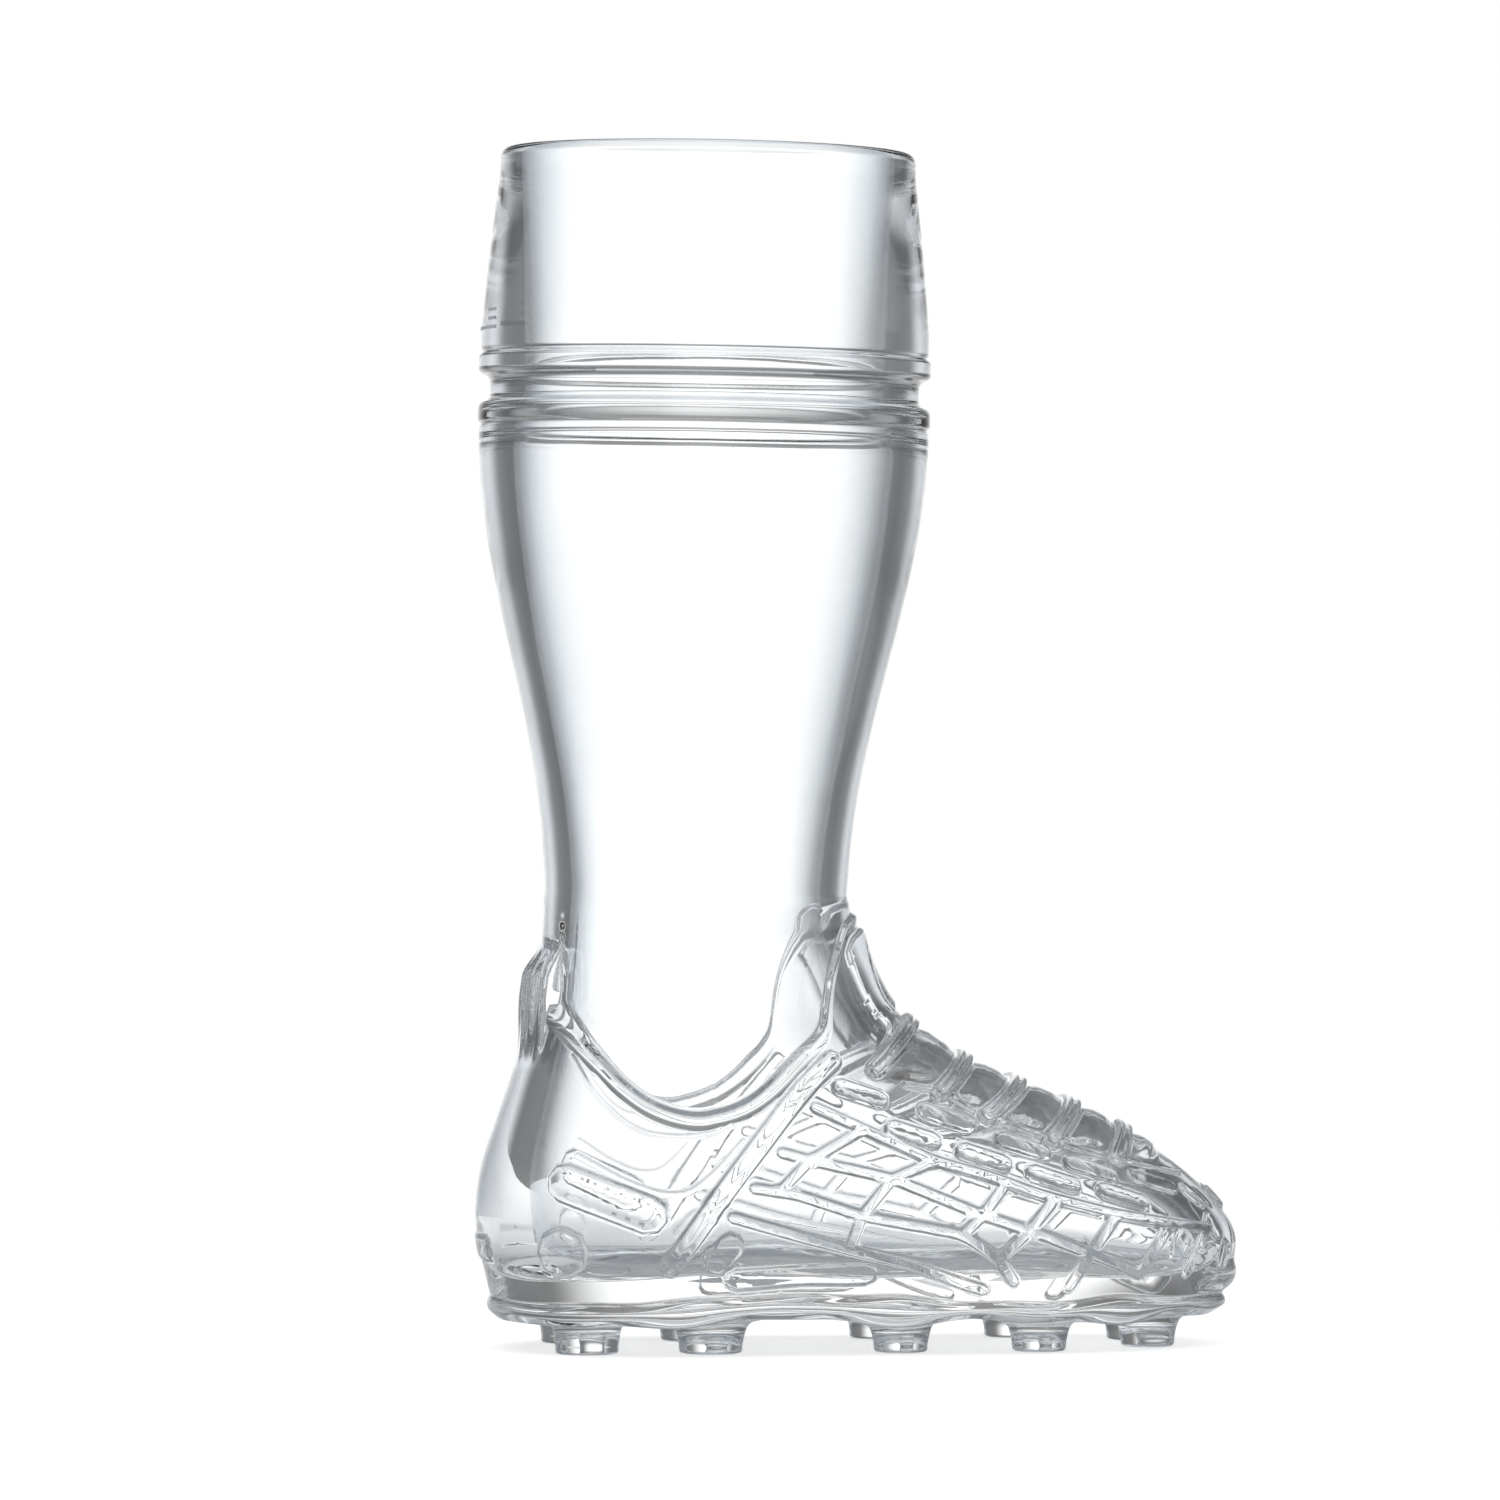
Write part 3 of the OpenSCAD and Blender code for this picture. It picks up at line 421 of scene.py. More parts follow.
# %% [markdown]
# Some forms follow the ring itself: the padded collar, where the upper stands out round the leg,
# the tongue in front, the ribbed pull tab behind, and the bumper and clip at the foot. Between the
# laces the glass swells, like a row of small barrels.

# %% Collar
collar_w, collar_relief, collar_depth, collar_bevel = 2.6, 1.0, 1.4, 1.3
heel_collar_w, heel_bevel = 4.6, 4.2
front_relief, front_depth, front_narrowing = 0.45, 0.4, 0.9


def collar_z(turn):
    return height_at(collar_line(np.asarray(turn) / math.pi))


def collar_height(turn, z):
    top = collar_z(turn)
    over = z - top
    rear = 1 - soft((turn / math.pi - 0.12) / 0.24)
    front = soft((turn / math.pi - 0.56) / 0.12)
    wide = mix(collar_w, heel_collar_w, rear) - front_narrowing * front
    bevel = mix(collar_bevel, heel_bevel, rear)
    roll = mix(collar_relief, front_relief, front) * np.sqrt(soft((over + wide) / 1.5))
    inner = -mix(collar_depth, front_depth, front)
    inner = inner * np.clip((ankle_z - z) / (ankle_z - top), 0, 1)
    return mix(roll, inner, soft((over + bevel - 0.9) / bevel))


print("collar line behind, at its lowest and in front",
      collar_z(np.array([0, 0.466, 1]) * math.pi).round(2))

# %% Tongue
tongue_half, tongue_radius = math.radians(36), 22
tongue_relief, tongue_edge = 0.9, 0.9


def tongue_foot(turn):
    c = (math.pi - turn) / tongue_half
    return height_at(mix(0.71, 0.64, np.clip(c, 0, 1) ** 2))


def tongue_height(turn, z):
    side = (tongue_half - (math.pi - turn)) * tongue_radius
    ends = np.minimum(z - tongue_foot(turn), (collar_z(turn) - collar_w + 0.3 - z) * 2)
    return tongue_relief * soft(np.minimum(side, ends / tongue_edge))


print("tongue from", tongue_foot(math.pi).round(2), "to", collar_z(math.pi).round(2))

# %% Pull tab, clip and bumper
tab_foot, tab_top = height_at(0.56), height_at(0.885)
tab_reach, tab_relief, tab_rib, tab_root = 11, 2.2, 0.6, -1.6
tab_half = math.asin(tab_reach / half_w(tab_top))
clip_half, clip_radius, clip_reach, clip_relief = math.radians(16), 26, 2.5, 0.5
bumper_half, bumper_reach = math.radians(24), 2.5
hidden = -9


def tab_height(turn, z):
    s = turn / tab_half
    ribs = 0.5 + 0.5 * np.cos(5 * math.pi * (s + 1))
    side = soft((1 - s) * tab_reach / 0.9)
    ends = soft((z - tab_foot) / 13) * soft((tab_top - z) / 7)
    return np.where(s < 1, mix(tab_root, (tab_relief + tab_rib * ribs) * ends, side), hidden)


def clip_height(turn, z):
    side = (clip_half - turn) * clip_radius / 0.8
    ends = (clip_reach - np.abs(z - height_at(0.125))) / 0.8
    return clip_relief * soft(np.minimum(side, ends))


def bumper_height(turn, z):
    c = np.clip((math.pi - turn) / bumper_half, 0, 1)
    r = np.clip((z - height_at(0.045)) / bumper_reach, -1, 1)
    return (1 - c ** 4) * (1 - r * r)


print("tab from", round(tab_foot, 2), "to", round(tab_top, 2), "half of it",
      round(math.degrees(tab_half), 1), "degrees")


# %% All the relief together
def relief(turn, z):
    """Height of the moulded relief over the skin, on one half of the shoe"""
    points = skin(turn, z)
    height, lace = np.zeros(len(turn)), np.full(len(turn), 8.0)
    for item in raised:
        distance = line_distance(points, item["points"], 8 if item["name"] == "lace" else 5)
        height = np.maximum(height, line_height(item, distance))
        if item["name"] == "lace":
            lace = np.minimum(lace, distance)
    x = points[:, 0]
    share, sweep, drop = laces[0]
    first_lace = foot_x(share) - sweep / drop * (ridge_z(foot_x(share)) - z)
    barrel = 0.75 * soft((lace - 1) / 3.2) * soft((7.4 - lace) / 2) * soft((x - first_lace) / 2)
    barrel *= soft((z - np.interp(x, lace_edge[:, 0], lace_edge[:, 1]) - 0.4) / 1.8)
    height = np.maximum(height, barrel)
    for more in (tongue_height, clip_height, bumper_height):
        height = np.maximum(height, more(turn, z))
    top = z - collar_z(turn)
    below = soft((-collar_w * 0.4 - top) / 1.2)
    height = np.maximum(collar_height(turn, z), mix(-3, height, below))
    return np.maximum(height, tab_height(turn, z))


print("relief on the tab, the side and the tongue",
      relief(np.array([0, 1.2, math.pi]), np.array([55.0, 24.0, 64.0])).round(2))

# %% [markdown]
# A plain grid would give every slanting bar a stepped edge. So the half shoe is laid out flat, by
# the distance round from the heel and the height, the outlines of the relief are drawn on it, and
# a Delaunay triangulation fills it with the outlines as edges. Laid back on the shoe and raised,
# each bar has a clean edge. The other half is its mirror image.

# %% The shoe laid out flat
flat_turns = np.linspace(0, math.pi, 721)
flat_levels = np.linspace(welt_z, ankle_z, 281)
flat_points = skin(flat_turns[None, :], flat_levels[:, None])
flat_runs = np.concatenate([np.zeros((len(flat_levels), 1)), np.cumsum(np.linalg.norm(
    np.diff(flat_points, axis=1), axis=2), axis=1)], axis=1)
flat_stretch = np.linalg.norm(np.diff(flat_points, axis=0), axis=2)
flat_stretch /= flat_levels[1] - flat_levels[0]


def run_row(z):
    at = (z - welt_z) / (ankle_z - welt_z) * (len(flat_levels) - 1)
    low = int(min(max(at, 0), len(flat_levels) - 2))
    return mix(flat_runs[low], flat_runs[low + 1], at - low)


def lay_flat(turn, z):
    return np.array([[np.interp(t, flat_turns, run_row(h)), h] for t, h in zip(turn, z)])


def lay_back(flat):
    return np.array([np.interp(u, run_row(z), flat_turns) for u, z in flat])


def shifted(turn, z, move):
    """Moves along the skin by a short step in space"""
    along, up = slopes(turn, z)
    a, b, c = (along * along).sum(-1) + 1e-6, (along * up).sum(-1), (up * up).sum(-1)
    p, q = (along * move).sum(-1), (up * move).sum(-1)
    room = a * c - b * b
    return turn + (c * p - b * q) / room, z + (a * q - b * p) / room


print("half round at the welt and the ankle", flat_runs[0, -1].round(1), flat_runs[-1, -1].round(1))


# %% Outlines of the relief
centre_step = 0.02


def outline(item, offset):
    """The line round a raised bar at a distance from its centre line, with round ends"""
    even = even_steps(np.stack([item["turns"] * 20, item["heights"]], -1), 0.75)
    turn, z = even[:, 0] / 20, even[:, 1]
    run = np.gradient(skin(turn, z), axis=0)
    run /= np.linalg.norm(run, axis=1, keepdims=True)
    side = np.cross(outward(turn, z), run)
    left = list(zip(*shifted(turn, z, side * offset)))
    if offset == centre_step:
        return np.array(left), False
    right = list(zip(*shifted(turn, z, -side * offset)))
    ends = {-1: [], 0: []}
    for k, sign in ((-1, 1), (0, -1)):
        for angle in np.radians((50, 90, 130)):
            move = (side[k] * math.cos(angle) + run[k] * math.sin(angle)) * sign * offset
            ends[k].append(shifted(turn[k], z[k], move))
    closed = item["name"] != "lace"
    return np.array(left + ends[-1] + right[::-1] + (ends[0] if closed else [])), closed


def inside_others(item, chain, offset):
    """Tells which points of an outline lie in another raised bar or under the collar"""
    inside = chain[:, 1] > collar_z(chain[:, 0]) - collar_w * 0.5
    points = skin(chain[:, 0], chain[:, 1])
    for other in raised:
        if other is not item:
            limit = other["half"] + (offset - item["half"]) - 0.12
            inside |= line_distance(points, other["points"], limit + 1) < limit
    return inside


chains = []
for item in raised:
    wide, fade = item["half"], item["edge"] / 2
    offsets = [wide + fade + 0.3, wide + fade, wide, wide - fade]
    offsets += [wide - 1.1, wide - 1.8] if item["hollow"] else []
    offsets += [0] if item["crown"] else []
    for offset in offsets:
        offset = offset if offset >= 0.15 else centre_step
        chain, closed = outline(item, offset)
        chains.append((chain, ~inside_others(item, chain, offset), closed))
print("outlines of raised lines", len(chains))


# %% Outlines of the collar, tab and tongue
def add_line(turn, z):
    turn, z = np.broadcast_arrays(turn, z)
    chains.append((np.stack([turn, z], -1), np.ones(len(z), bool), False))


for over in (-4.6, -3.7, -3.1, -2.6, -2.1, -1.7, -1.2, -0.8, -0.35, 0.0, 0.3, 0.6, 0.9, 1.4):
    add_line(flat_turns[::6], collar_z(flat_turns[::6]) + over)
for s in np.linspace(0, 1, 21):
    add_line(s * tab_half, np.arange(tab_foot, tab_top, 0.6))
tongue_side = math.pi - tongue_half
for inset in (0.0, 0.9):
    turn = np.linspace(tongue_side + inset / tongue_radius, math.pi, 24)
    add_line(turn, tongue_foot(turn) + inset)
    add_line(turn[0], np.arange(tongue_foot(tongue_side), collar_z(tongue_side) - collar_w, 0.6))
print("outlines", len(chains), "points", sum(len(c[0]) for c in chains))

# %% Points and edges of the outlines
fill_pitch = 0.95
spots, edges, border = [], [], []
for chain, kept, closed in chains:
    chain[:, 0] = np.where(chain[:, 0] < 0.004, 0, chain[:, 0])
    chain[:, 0] = np.where(chain[:, 0] > math.pi - 0.004, math.pi, chain[:, 0])
    kept = kept & (chain[:, 1] > welt_z + 0.3) & (chain[:, 1] < ankle_z - 0.6)
    numbers = [None] * len(chain)
    for k in np.flatnonzero(kept):
        numbers[k] = len(spots)
        spots.append(tuple(chain[k]))
    border += [tuple(spot) for spot in chain[kept] if spot[0] in (0, math.pi)]
    pairs = zip(numbers, numbers[1:] + numbers[:1] if closed else numbers[1:])
    edges += [pair for pair in pairs if None not in pair]
flat = lay_flat(*np.array(spots).T)
print("outline points kept", len(spots), "edges", len(edges))

# %% Points that fill the space between
near = KDTree(len(flat))
for k, (u, z) in enumerate(flat):
    near.insert((u, z, 0), k)
near.balance()
fill = []
for row, z in enumerate(np.arange(welt_z + fill_pitch / 2, ankle_z - 0.5, fill_pitch * 0.435)):
    runs = run_row(z)
    spread = flat_stretch[min(int((z - welt_z) / (ankle_z - welt_z) * 280), 279)]
    first = fill_pitch * (1.25 - row % 4 * 0.25)
    for u in np.arange(first, runs[-1] - fill_pitch * 0.5, fill_pitch):
        steep = spread[np.searchsorted(runs, u) - 1] > 1.5
        free = near.find((u, z, 0))[2] / fill_pitch
        if (steep or row % 2 == 0) and free > (0.36 if steep else 0.5):
            fill.append((u, z))
print("fill points", len(fill))

# %% Border of the half shoe
top_turns = np.radians(np.arange(0, 181, 2))
foot_turns = np.interp(np.linspace(0, flat_runs[0, -1], 121), flat_runs[0], flat_turns)


def seam(turn):
    """Heights of the points on the front or rear line, where the two halves meet"""
    own = sorted({round(z, 3) for t, z in border if t == turn})
    own = [z for i, z in enumerate(own) if i == 0 or z - own[i - 1] > 0.05]
    return sorted(own + [z for z in np.arange(welt_z + 0.75, ankle_z - 0.4, 0.75)
                         if min((abs(z - o) for o in own), default=1) > 0.35])


rim = [(t, welt_z) for t in foot_turns] + [(math.pi, z) for z in seam(math.pi)]
rim += [(t, ankle_z) for t in top_turns[::-1]] + [(0, z) for z in seam(0)[::-1]]
print("border", len(rim), "points")

# %% Triangles between the outlines
inner = [k for k, (t, z) in enumerate(spots) if t not in (0, math.pi)]
first_rim = len(inner)
at_rim = {(t, round(z, 3)): first_rim + i for i, (t, z) in enumerate(rim)}
number = {k: i for i, k in enumerate(inner)}
for k, (t, z) in enumerate(spots):
    if k not in number and (t, round(z, 3)) in at_rim:
        number[k] = at_rim[(t, round(z, 3))]
links = [(number.get(a), number.get(b)) for a, b in edges]
links = [(a, b) for a, b in links if a is not None and b is not None and a != b]
links += [(first_rim + i, first_rim + (i + 1) % len(rim)) for i in range(len(rim))]
flat_spots = [tuple(flat[k]) for k in inner] + [tuple(p) for p in lay_flat(*np.array(rim).T)] + fill
made = delaunay_2d_cdt([Vector(p) for p in flat_spots], links, [], 1, 1e-4, False)
half_flat = np.array([tuple(p) for p in made[0]])
at_front = half_flat[:, 0] > np.array([run_row(z)[-1] for z in half_flat[:, 1]]) - 1e-3
at_back = half_flat[:, 0] < 1e-3
half_faces = [f for f in made[2] if not (all(at_front[k] for k in f) or all(at_back[k] for k in f))]
print("half shoe", len(half_flat), "points", len(half_faces), "triangles")

# %% Making, opening and joining pieces
def mesh_piece(name, points, faces, lines=()):
    """Makes a mesh from points in millimetres"""
    mesh = bpy.data.meshes.new(name)
    mesh.from_pydata([tuple(p * MM) for p in np.asarray(points, float)], lines, faces)
    piece = bpy.data.objects.new(name, mesh)
    bpy.context.scene.collection.objects.link(piece)
    return piece


def only(piece):
    bpy.ops.object.select_all(action="DESELECT")
    piece.select_set(True)
    bpy.context.view_layer.objects.active = piece


def edit_whole(piece):
    """Opens a piece for editing with all of it selected"""
    only(piece)
    bpy.ops.object.mode_set(mode="EDIT")
    bpy.ops.mesh.select_all(action="SELECT")


def joined(name, first, *others):
    only(first)
    for piece in others:
        piece.select_set(True)
    bpy.ops.object.join()
    first.name = first.data.name = name
    return first


# %% The raised skin and its directions
def welt_wave(x):
    """The upper edge of the sole rises under the arch and is never quite straight"""
    arch = soft((x + 36) / 18) * soft((12 - x) / 24)
    return 1.6 * arch + 0.45 * np.sin(x / 6.1 + 0.8) + 0.25 * np.sin(x / 2.9)


def folded(turn):
    return math.pi - np.abs(math.pi - np.abs(turn))


def raised_skin(turn, z):
    rise = relief(folded(turn), z)
    rise = rise * soft((z - welt_z) / 0.5) * soft((ankle_z - z) / 0.3)
    points = leaned(skin(turn, z) + outward(turn, z) * rise[:, None])
    points[:, 2] += welt_wave(points[:, 0]) * soft((20 - z) / 11)
    return points


def raised_normals(turn, z):
    along, up = slopes(turn, z)
    step = np.clip(0.1 / np.linalg.norm(along, axis=1), 0.001, 0.02)
    across = raised_skin(turn + step, z) - raised_skin(turn - step, z)
    rise = raised_skin(turn, z + 0.1) - raised_skin(turn, z - 0.1)
    normal = np.cross(rise, across)
    return normal / np.linalg.norm(normal, axis=1, keepdims=True)


print("relief leaves the toe at", raised_skin(np.array([math.pi]), np.array([14.0])).round(2))

# %% The half shoe laid back and raised
half = np.stack([lay_back(half_flat), half_flat[:, 1]], -1)
half[half[:, 0] > math.pi - 1e-4, 0] = math.pi
half[half[:, 0] < 1e-4, 0] = 0
raised_points = raised_skin(half[:, 0], half[:, 1])
half_normals = raised_normals(half[:, 0], half[:, 1])
raised_points[np.isin(half[:, 0], (0, math.pi)), 1] = 0
upper = mesh_piece("upper", raised_points, half_faces)
mirror = upper.modifiers.new("mirror", "MIRROR")
mirror.use_axis = (False, True, False)
mirror.use_mirror_merge, mirror.merge_threshold = True, 1e-6
only(upper)
bpy.ops.object.modifier_apply(modifier=mirror.name)
print("upper", len(upper.data.polygons), "faces")

# %% [markdown]
# The hollow of the shoe follows the skin at the distance of the walls and rounds in to a flat
# floor. It has no relief, so a plain grid of rings does for it, and its columns are those of the
# spun leg above it. Low down it waves a little, as the inside of a thick moulded glass does.

# %% The hollow of the shoe
def ring_grid(name, rings):
    rings = np.array(rings)
    rows, columns = rings.shape[:2]
    faces = [(r * columns + c, r * columns + (c + 1) % columns,
              (r + 1) * columns + (c + 1) % columns, (r + 1) * columns + c)
             for r in range(rows - 1) for c in range(columns)]
    return mesh_piece(name, rings.reshape(-1, 3), faces)


def hollow_ring(turn, z):
    drop = max(0.0, floor_r - (z - floor_z))
    inset = floor_r - math.sqrt(max(0.0, floor_r ** 2 - drop ** 2))
    wall = mix(heel_wall, ankle_wall, soft(level(z)))
    extra = heel_extra * (1 - soft(level(z)))
    lifted = z + instep_lift * soft((ankle_z - z) / 6)
    return ring(turn, z, back_x(z) + wall + extra + inset, front_x(lifted) - instep_wall - inset,
                half_w(z) - wall - inset)


columns = np.radians(np.arange(0, 360, 2))
bend = floor_z + floor_r * (1 - np.cos(np.radians(np.arange(0, 91, 9))))
hollow_levels = np.concatenate([bend, np.linspace(bend[-1], ankle_z, 46)[1:]])
hollow_rings = [leaned(hollow_ring(columns, z)) for z in hollow_levels]
for ring_points in hollow_rings:
    x, y, z = ring_points.T
    wave = 0.5 * np.sin(x / 7 + 0.1 * y) + 0.3 * welt_wave(x)
    ring_points[:, 2] += soft((30 - z) / 16) * wave
hollow = ring_grid("hollow", hollow_rings)
print("hollow", len(hollow.data.polygons), "faces")

# %% Floor of the hollow
only(hollow)
bpy.ops.object.mode_set(mode="EDIT")
bpy.ops.mesh.select_all(action="DESELECT")
bpy.ops.object.mode_set(mode="OBJECT")
for edge in hollow.data.edges:
    edge.select = all(v < len(columns) for v in edge.vertices)
bpy.ops.object.mode_set(mode="EDIT")
bpy.ops.mesh.select_mode(type="EDGE")
bpy.ops.mesh.edge_face_add()
bpy.ops.mesh.inset(thickness=floor_inset * MM)
bpy.ops.object.mode_set(mode="OBJECT")
print("floor closed", len(hollow.data.polygons), "faces")

# %% [markdown]
# The leg is turned, so one half of its section is drawn as a line and spun. The line starts at the
# ankle, goes up outside over the calf, the two rings with their groove and the cuff, rolls over
# the rim and comes down inside. Real moulded glass has rounded corners, so each corner of the
# rings is an arc. Inside, the wall is thick behind the rings and has a soft shoulder below them.

# %% Lines with rounded corners
def rounded_corners(corners):
    """A line of corners (radius from the axis, height, corner radius) with an arc at each corner"""
    line = [np.array(corners[0][:2], float)]
    for before, corner, after in zip(corners, corners[1:], corners[2:]):
        here = np.array(corner[:2], float)
        to_before, to_after = np.array(before[:2]) - here, np.array(after[:2]) - here
        d, e = np.linalg.norm(to_before), np.linalg.norm(to_after)
        cut = min(corner[2], 0.48 * d, 0.48 * e)
        a, b = here + to_before / d * cut, here + to_after / e * cut
        line += [(1 - t) ** 2 * a + 2 * t * (1 - t) * here + t * t * b
                 for t in np.linspace(0, 1, 6)]
    return line + [np.array(corners[-1][:2], float)]


print("a rounded corner has", len(rounded_corners([(0, 0), (4, 0, 1), (4, 4)])) - 2, "points")


# %% Outside of the leg
def swell(t):
    return (1 - np.cos(np.pi * np.clip((t + 0.08) / 1.08, 0, 1) ** 1.1)) / 2


calf_t = np.linspace(0, 1, 41)[:-1]
calf_line = [(mix(ankle_r, calf_r, (swell(t) - swell(0)) / (1 - swell(0))),
              mix(ankle_z, lower_z, t)) for t in calf_t]
rings_line = rounded_corners([
    (calf_r, lower_z - 0.5, 0), (calf_r - 0.45, lower_z + 0.05, 0.35), (ring_r, lower_z + 0.6, 0.6),
    (ring_r, groove_z - 0.3, 0.9), (groove_r, groove_z + 0.5, 1.0), (groove_r, upper_z - 0.5, 1.0),
    (ring_r, upper_z + 0.3, 0.9), (ring_r, cuff_z - 0.6, 0.6), (cuff_r - 0.45, cuff_z, 0.35),
    (cuff_r, cuff_z + 0.6, 0.6), (cuff_r, cuff_z + 2, 1)])
cuff_line = [(mix(cuff_r, mouth_r, t ** 1.25), mix(cuff_z + 2.5, rim_z, t))
             for t in np.linspace(0, 1, 19)]
print("points up the calf, rings and cuff", len(calf_line), len(rings_line), len(cuff_line))

# %% Rim and inside of the leg
roll, rim_wall, roll_z = 1.75, 3.7, 199
bore_top = mouth_r - rim_wall
rim_line = [(mouth_r - roll + roll * math.cos(a), top_z - roll + roll * math.sin(a))
            for a in np.radians(np.arange(0, 91, 10))]
rim_line += [(bore_top + roll + roll * math.cos(a), top_z - roll + roll * math.sin(a))
             for a in np.radians(np.arange(90, 181, 10))]
bore = rounded_table([
    [78, 21.3], [80, 21.4], [86, 21.9], [95.5, 23.2], [103, 24.6], [111, 26.1], [119, 27.8],
    [126.4, 29.3], [131, 30.2], [136.7, 31.05], [142, 31.8], [148, 32.4], [154, 32.8],
    [157.5, 32.3], [160, 31.2], [162.5, 30.9], [168, 30.9], [175, 31.1], [190, 31.6],
    [199, 32.0]], 0.8)
bore_line = [(float(bore(z)), z) for z in np.concatenate([
    np.linspace(roll_z, 166, 12), np.linspace(164.5, 150, 20), np.linspace(148, ankle_z, 26)])]
bore_line[0] = (bore_top, roll_z)
section = calf_line + [tuple(p) for p in rings_line] + cuff_line + rim_line + bore_line
print("points in the section", len(section), "widest", max(r for r, z in section))

# %% Spin the leg
def spin_whole(piece, steps, angle):
    """Spins a section round the axis of the leg and leaves the piece open for editing"""
    edit_whole(piece)
    bpy.ops.mesh.spin(steps=steps, angle=angle, center=(leg_x * MM, 0, 0), axis=(0, 0, 1))


def tip_selected():
    bpy.ops.transform.rotate(value=-lean, orient_axis="Y",
                             center_override=(leg_x * MM, 0, ankle_z * MM))


leg = mesh_piece("leg", [(leg_x + r, 0, z) for r, z in section], [],
                 [(i, i + 1) for i in range(len(section) - 1)])
spin_whole(leg, 180, 2 * math.pi)
bpy.ops.mesh.select_all(action="SELECT")
bpy.ops.mesh.remove_doubles(threshold=2e-6)
tip_selected()
bpy.ops.object.mode_set(mode="OBJECT")
corner = max((v.co for v in leg.data.vertices), key=lambda co: co.z)
print("leg", len(leg.data.polygons), "faces, highest point", [round(c / MM, 2) for c in corner])

# %% [markdown]
# The sole stands out a little as a welt and rounds under to a flat plate. Ten studs grow out of
# the plate. The plate is filled between its own edge and ten circles, and each circle is then
# pulled down to a stud: a soft fillet, a flared foot and a small bevel round its flat end.

# %% Welt and plate
sole_turns = np.concatenate([foot_turns, 2 * math.pi - foot_turns[-2:0:-1]])


def plate_ring(z, out):
    points = ring(sole_turns, welt_z, back_x(welt_z) - out, front_x(welt_z) + out,
                  half_w(welt_z) + out)
    points[:, 2] = z
    return points


welt = [(welt_z, 0), (welt_z - 0.15, 0.16), (welt_z - 0.5, 0.36), (welt_z - 1.1, 0.5),
        (7.3, 0.54), (6.7, 0.42), (6.2, 0.12), (5.75, -0.35), (5.3, -0.9), (4.95, -1.45),
        (4.76, -1.8), (stud_h, -2)]
sole = ring_grid("sole", [plate_ring(z, out) for z, out in welt])
print("welt", len(sole.data.polygons), "faces")

# %% Places and sections of the studs
stud_spots = [(foot_x(share), side * y * ball_width, r, flare) for share, y, r, flare in (
    (0.136, 0.22, 5.4, 1.0), (0.294, 0.25, 5.4, 1.8), (0.539, 0.27, 4.6, 1.8),
    (0.719, 0.28, 4.6, 1.8), (0.872, 0.13, 4.6, 1.8)) for side in (1, -1)]
stud_rows = [(0.7, 4.55), (0.47, 4.2), (0.3, 3.6), (0.17, 2.8), (0.06, 1.9), (0, 1.1),
             (-0.01, 0.6), (-0.08, 0.28), (-0.22, 0.08), (-0.45, 0.0), (-1.2, 0.0)]
print("studs", len(stud_spots), "first at", [round(float(c), 2) for c in stud_spots[0][:2]])

# %% Plate with a hole for each stud
plate_edge = plate_ring(stud_h, welt[-1][1])
plate_side = plate_edge[:len(foot_turns)]
plate_spots = [tuple(p[:2]) for p in plate_edge]
links = [(i, (i + 1) % len(plate_spots)) for i in range(len(plate_spots))]
for x, y, r, flare in stud_spots:
    first = len(plate_spots)
    plate_spots += [(x + (r + flare) * math.cos(a), y + (r + flare) * math.sin(a))
                    for a in np.radians(np.arange(0, 360, 10))]
    links += [(first + i, first + (i + 1) % 36) for i in range(36)]
for x in np.arange(heel_x + 3, toe_x - 2, 2.2):
    side = np.interp(x, plate_side[:, 0], plate_side[:, 1]) - 1.2
    for y in np.arange(-28.6, 29, 2.2):
        if abs(y) < side and all(math.hypot(x - a, y - b) > r + flare + 0.9
                                 for a, b, r, flare in stud_spots):
            plate_spots.append((x, y))
made = delaunay_2d_cdt([Vector(p) for p in plate_spots], links, [], 1, 1e-4, False)
centres = [sum((made[0][k] for k in f), Vector((0, 0))) / 3 for f in made[2]]
plate_faces = [f for f, c in zip(made[2], centres)
               if abs(c.y) < np.interp(c.x, plate_side[:, 0], plate_side[:, 1])
               and all(math.hypot(c.x - a, c.y - b) > r + flare - 0.05
                       for a, b, r, flare in stud_spots)]
plate = mesh_piece("plate", [(p.x, p.y, stud_h) for p in made[0]], plate_faces)
print("plate", len(plate_faces), "triangles")


# %% Studs drawn out of the plate
def select_where(piece, test):
    bpy.ops.mesh.select_all(action="DESELECT")
    bpy.ops.object.mode_set(mode="OBJECT")
    for v in piece.data.vertices:
        v.select = bool(test(v.co / MM))
    for e in piece.data.edges:
        e.select = all(piece.data.vertices[v].select for v in e.vertices)
    bpy.ops.object.mode_set(mode="EDIT")


only(plate)
bpy.ops.object.mode_set(mode="EDIT")
bpy.ops.mesh.select_mode(type="EDGE")
for x, y, r, flare in stud_spots:
    select_where(plate, lambda co: co.z < stud_h + 0.01
                 and abs(math.hypot(co.x - x, co.y - y) - r - flare) < 0.02)
    wide, z = r + flare, stud_h
    for share, low in stud_rows:
        radius = r + flare * share
        bpy.ops.mesh.extrude_edges_move(TRANSFORM_OT_translate={"value": (0, 0, (low - z) * MM)})
        bpy.ops.transform.resize(value=(radius / wide, radius / wide, 1),
                                 center_override=(x * MM, y * MM, low * MM))
        wide, z = radius, low
    bpy.ops.mesh.edge_face_add()
bpy.ops.object.mode_set(mode="OBJECT")
print("plate and studs", len(plate.data.polygons), "faces")

# %% [markdown]
# The underside of a pressed glass sole is never flat: it sinks a little as it cools, most under
# the arch. Light from the table comes through these waves in long soft bands.

# %% Waves in the sole
def sole_wave(x, y):
    arch = soft((x + 24) / 12) * soft((1 - x) / 12)
    return 1.1 * arch + 0.45 * math.sin(x / 6.5 + 0.06 * y) + 0.35 * math.sin(x / 3.1 + y / 7)


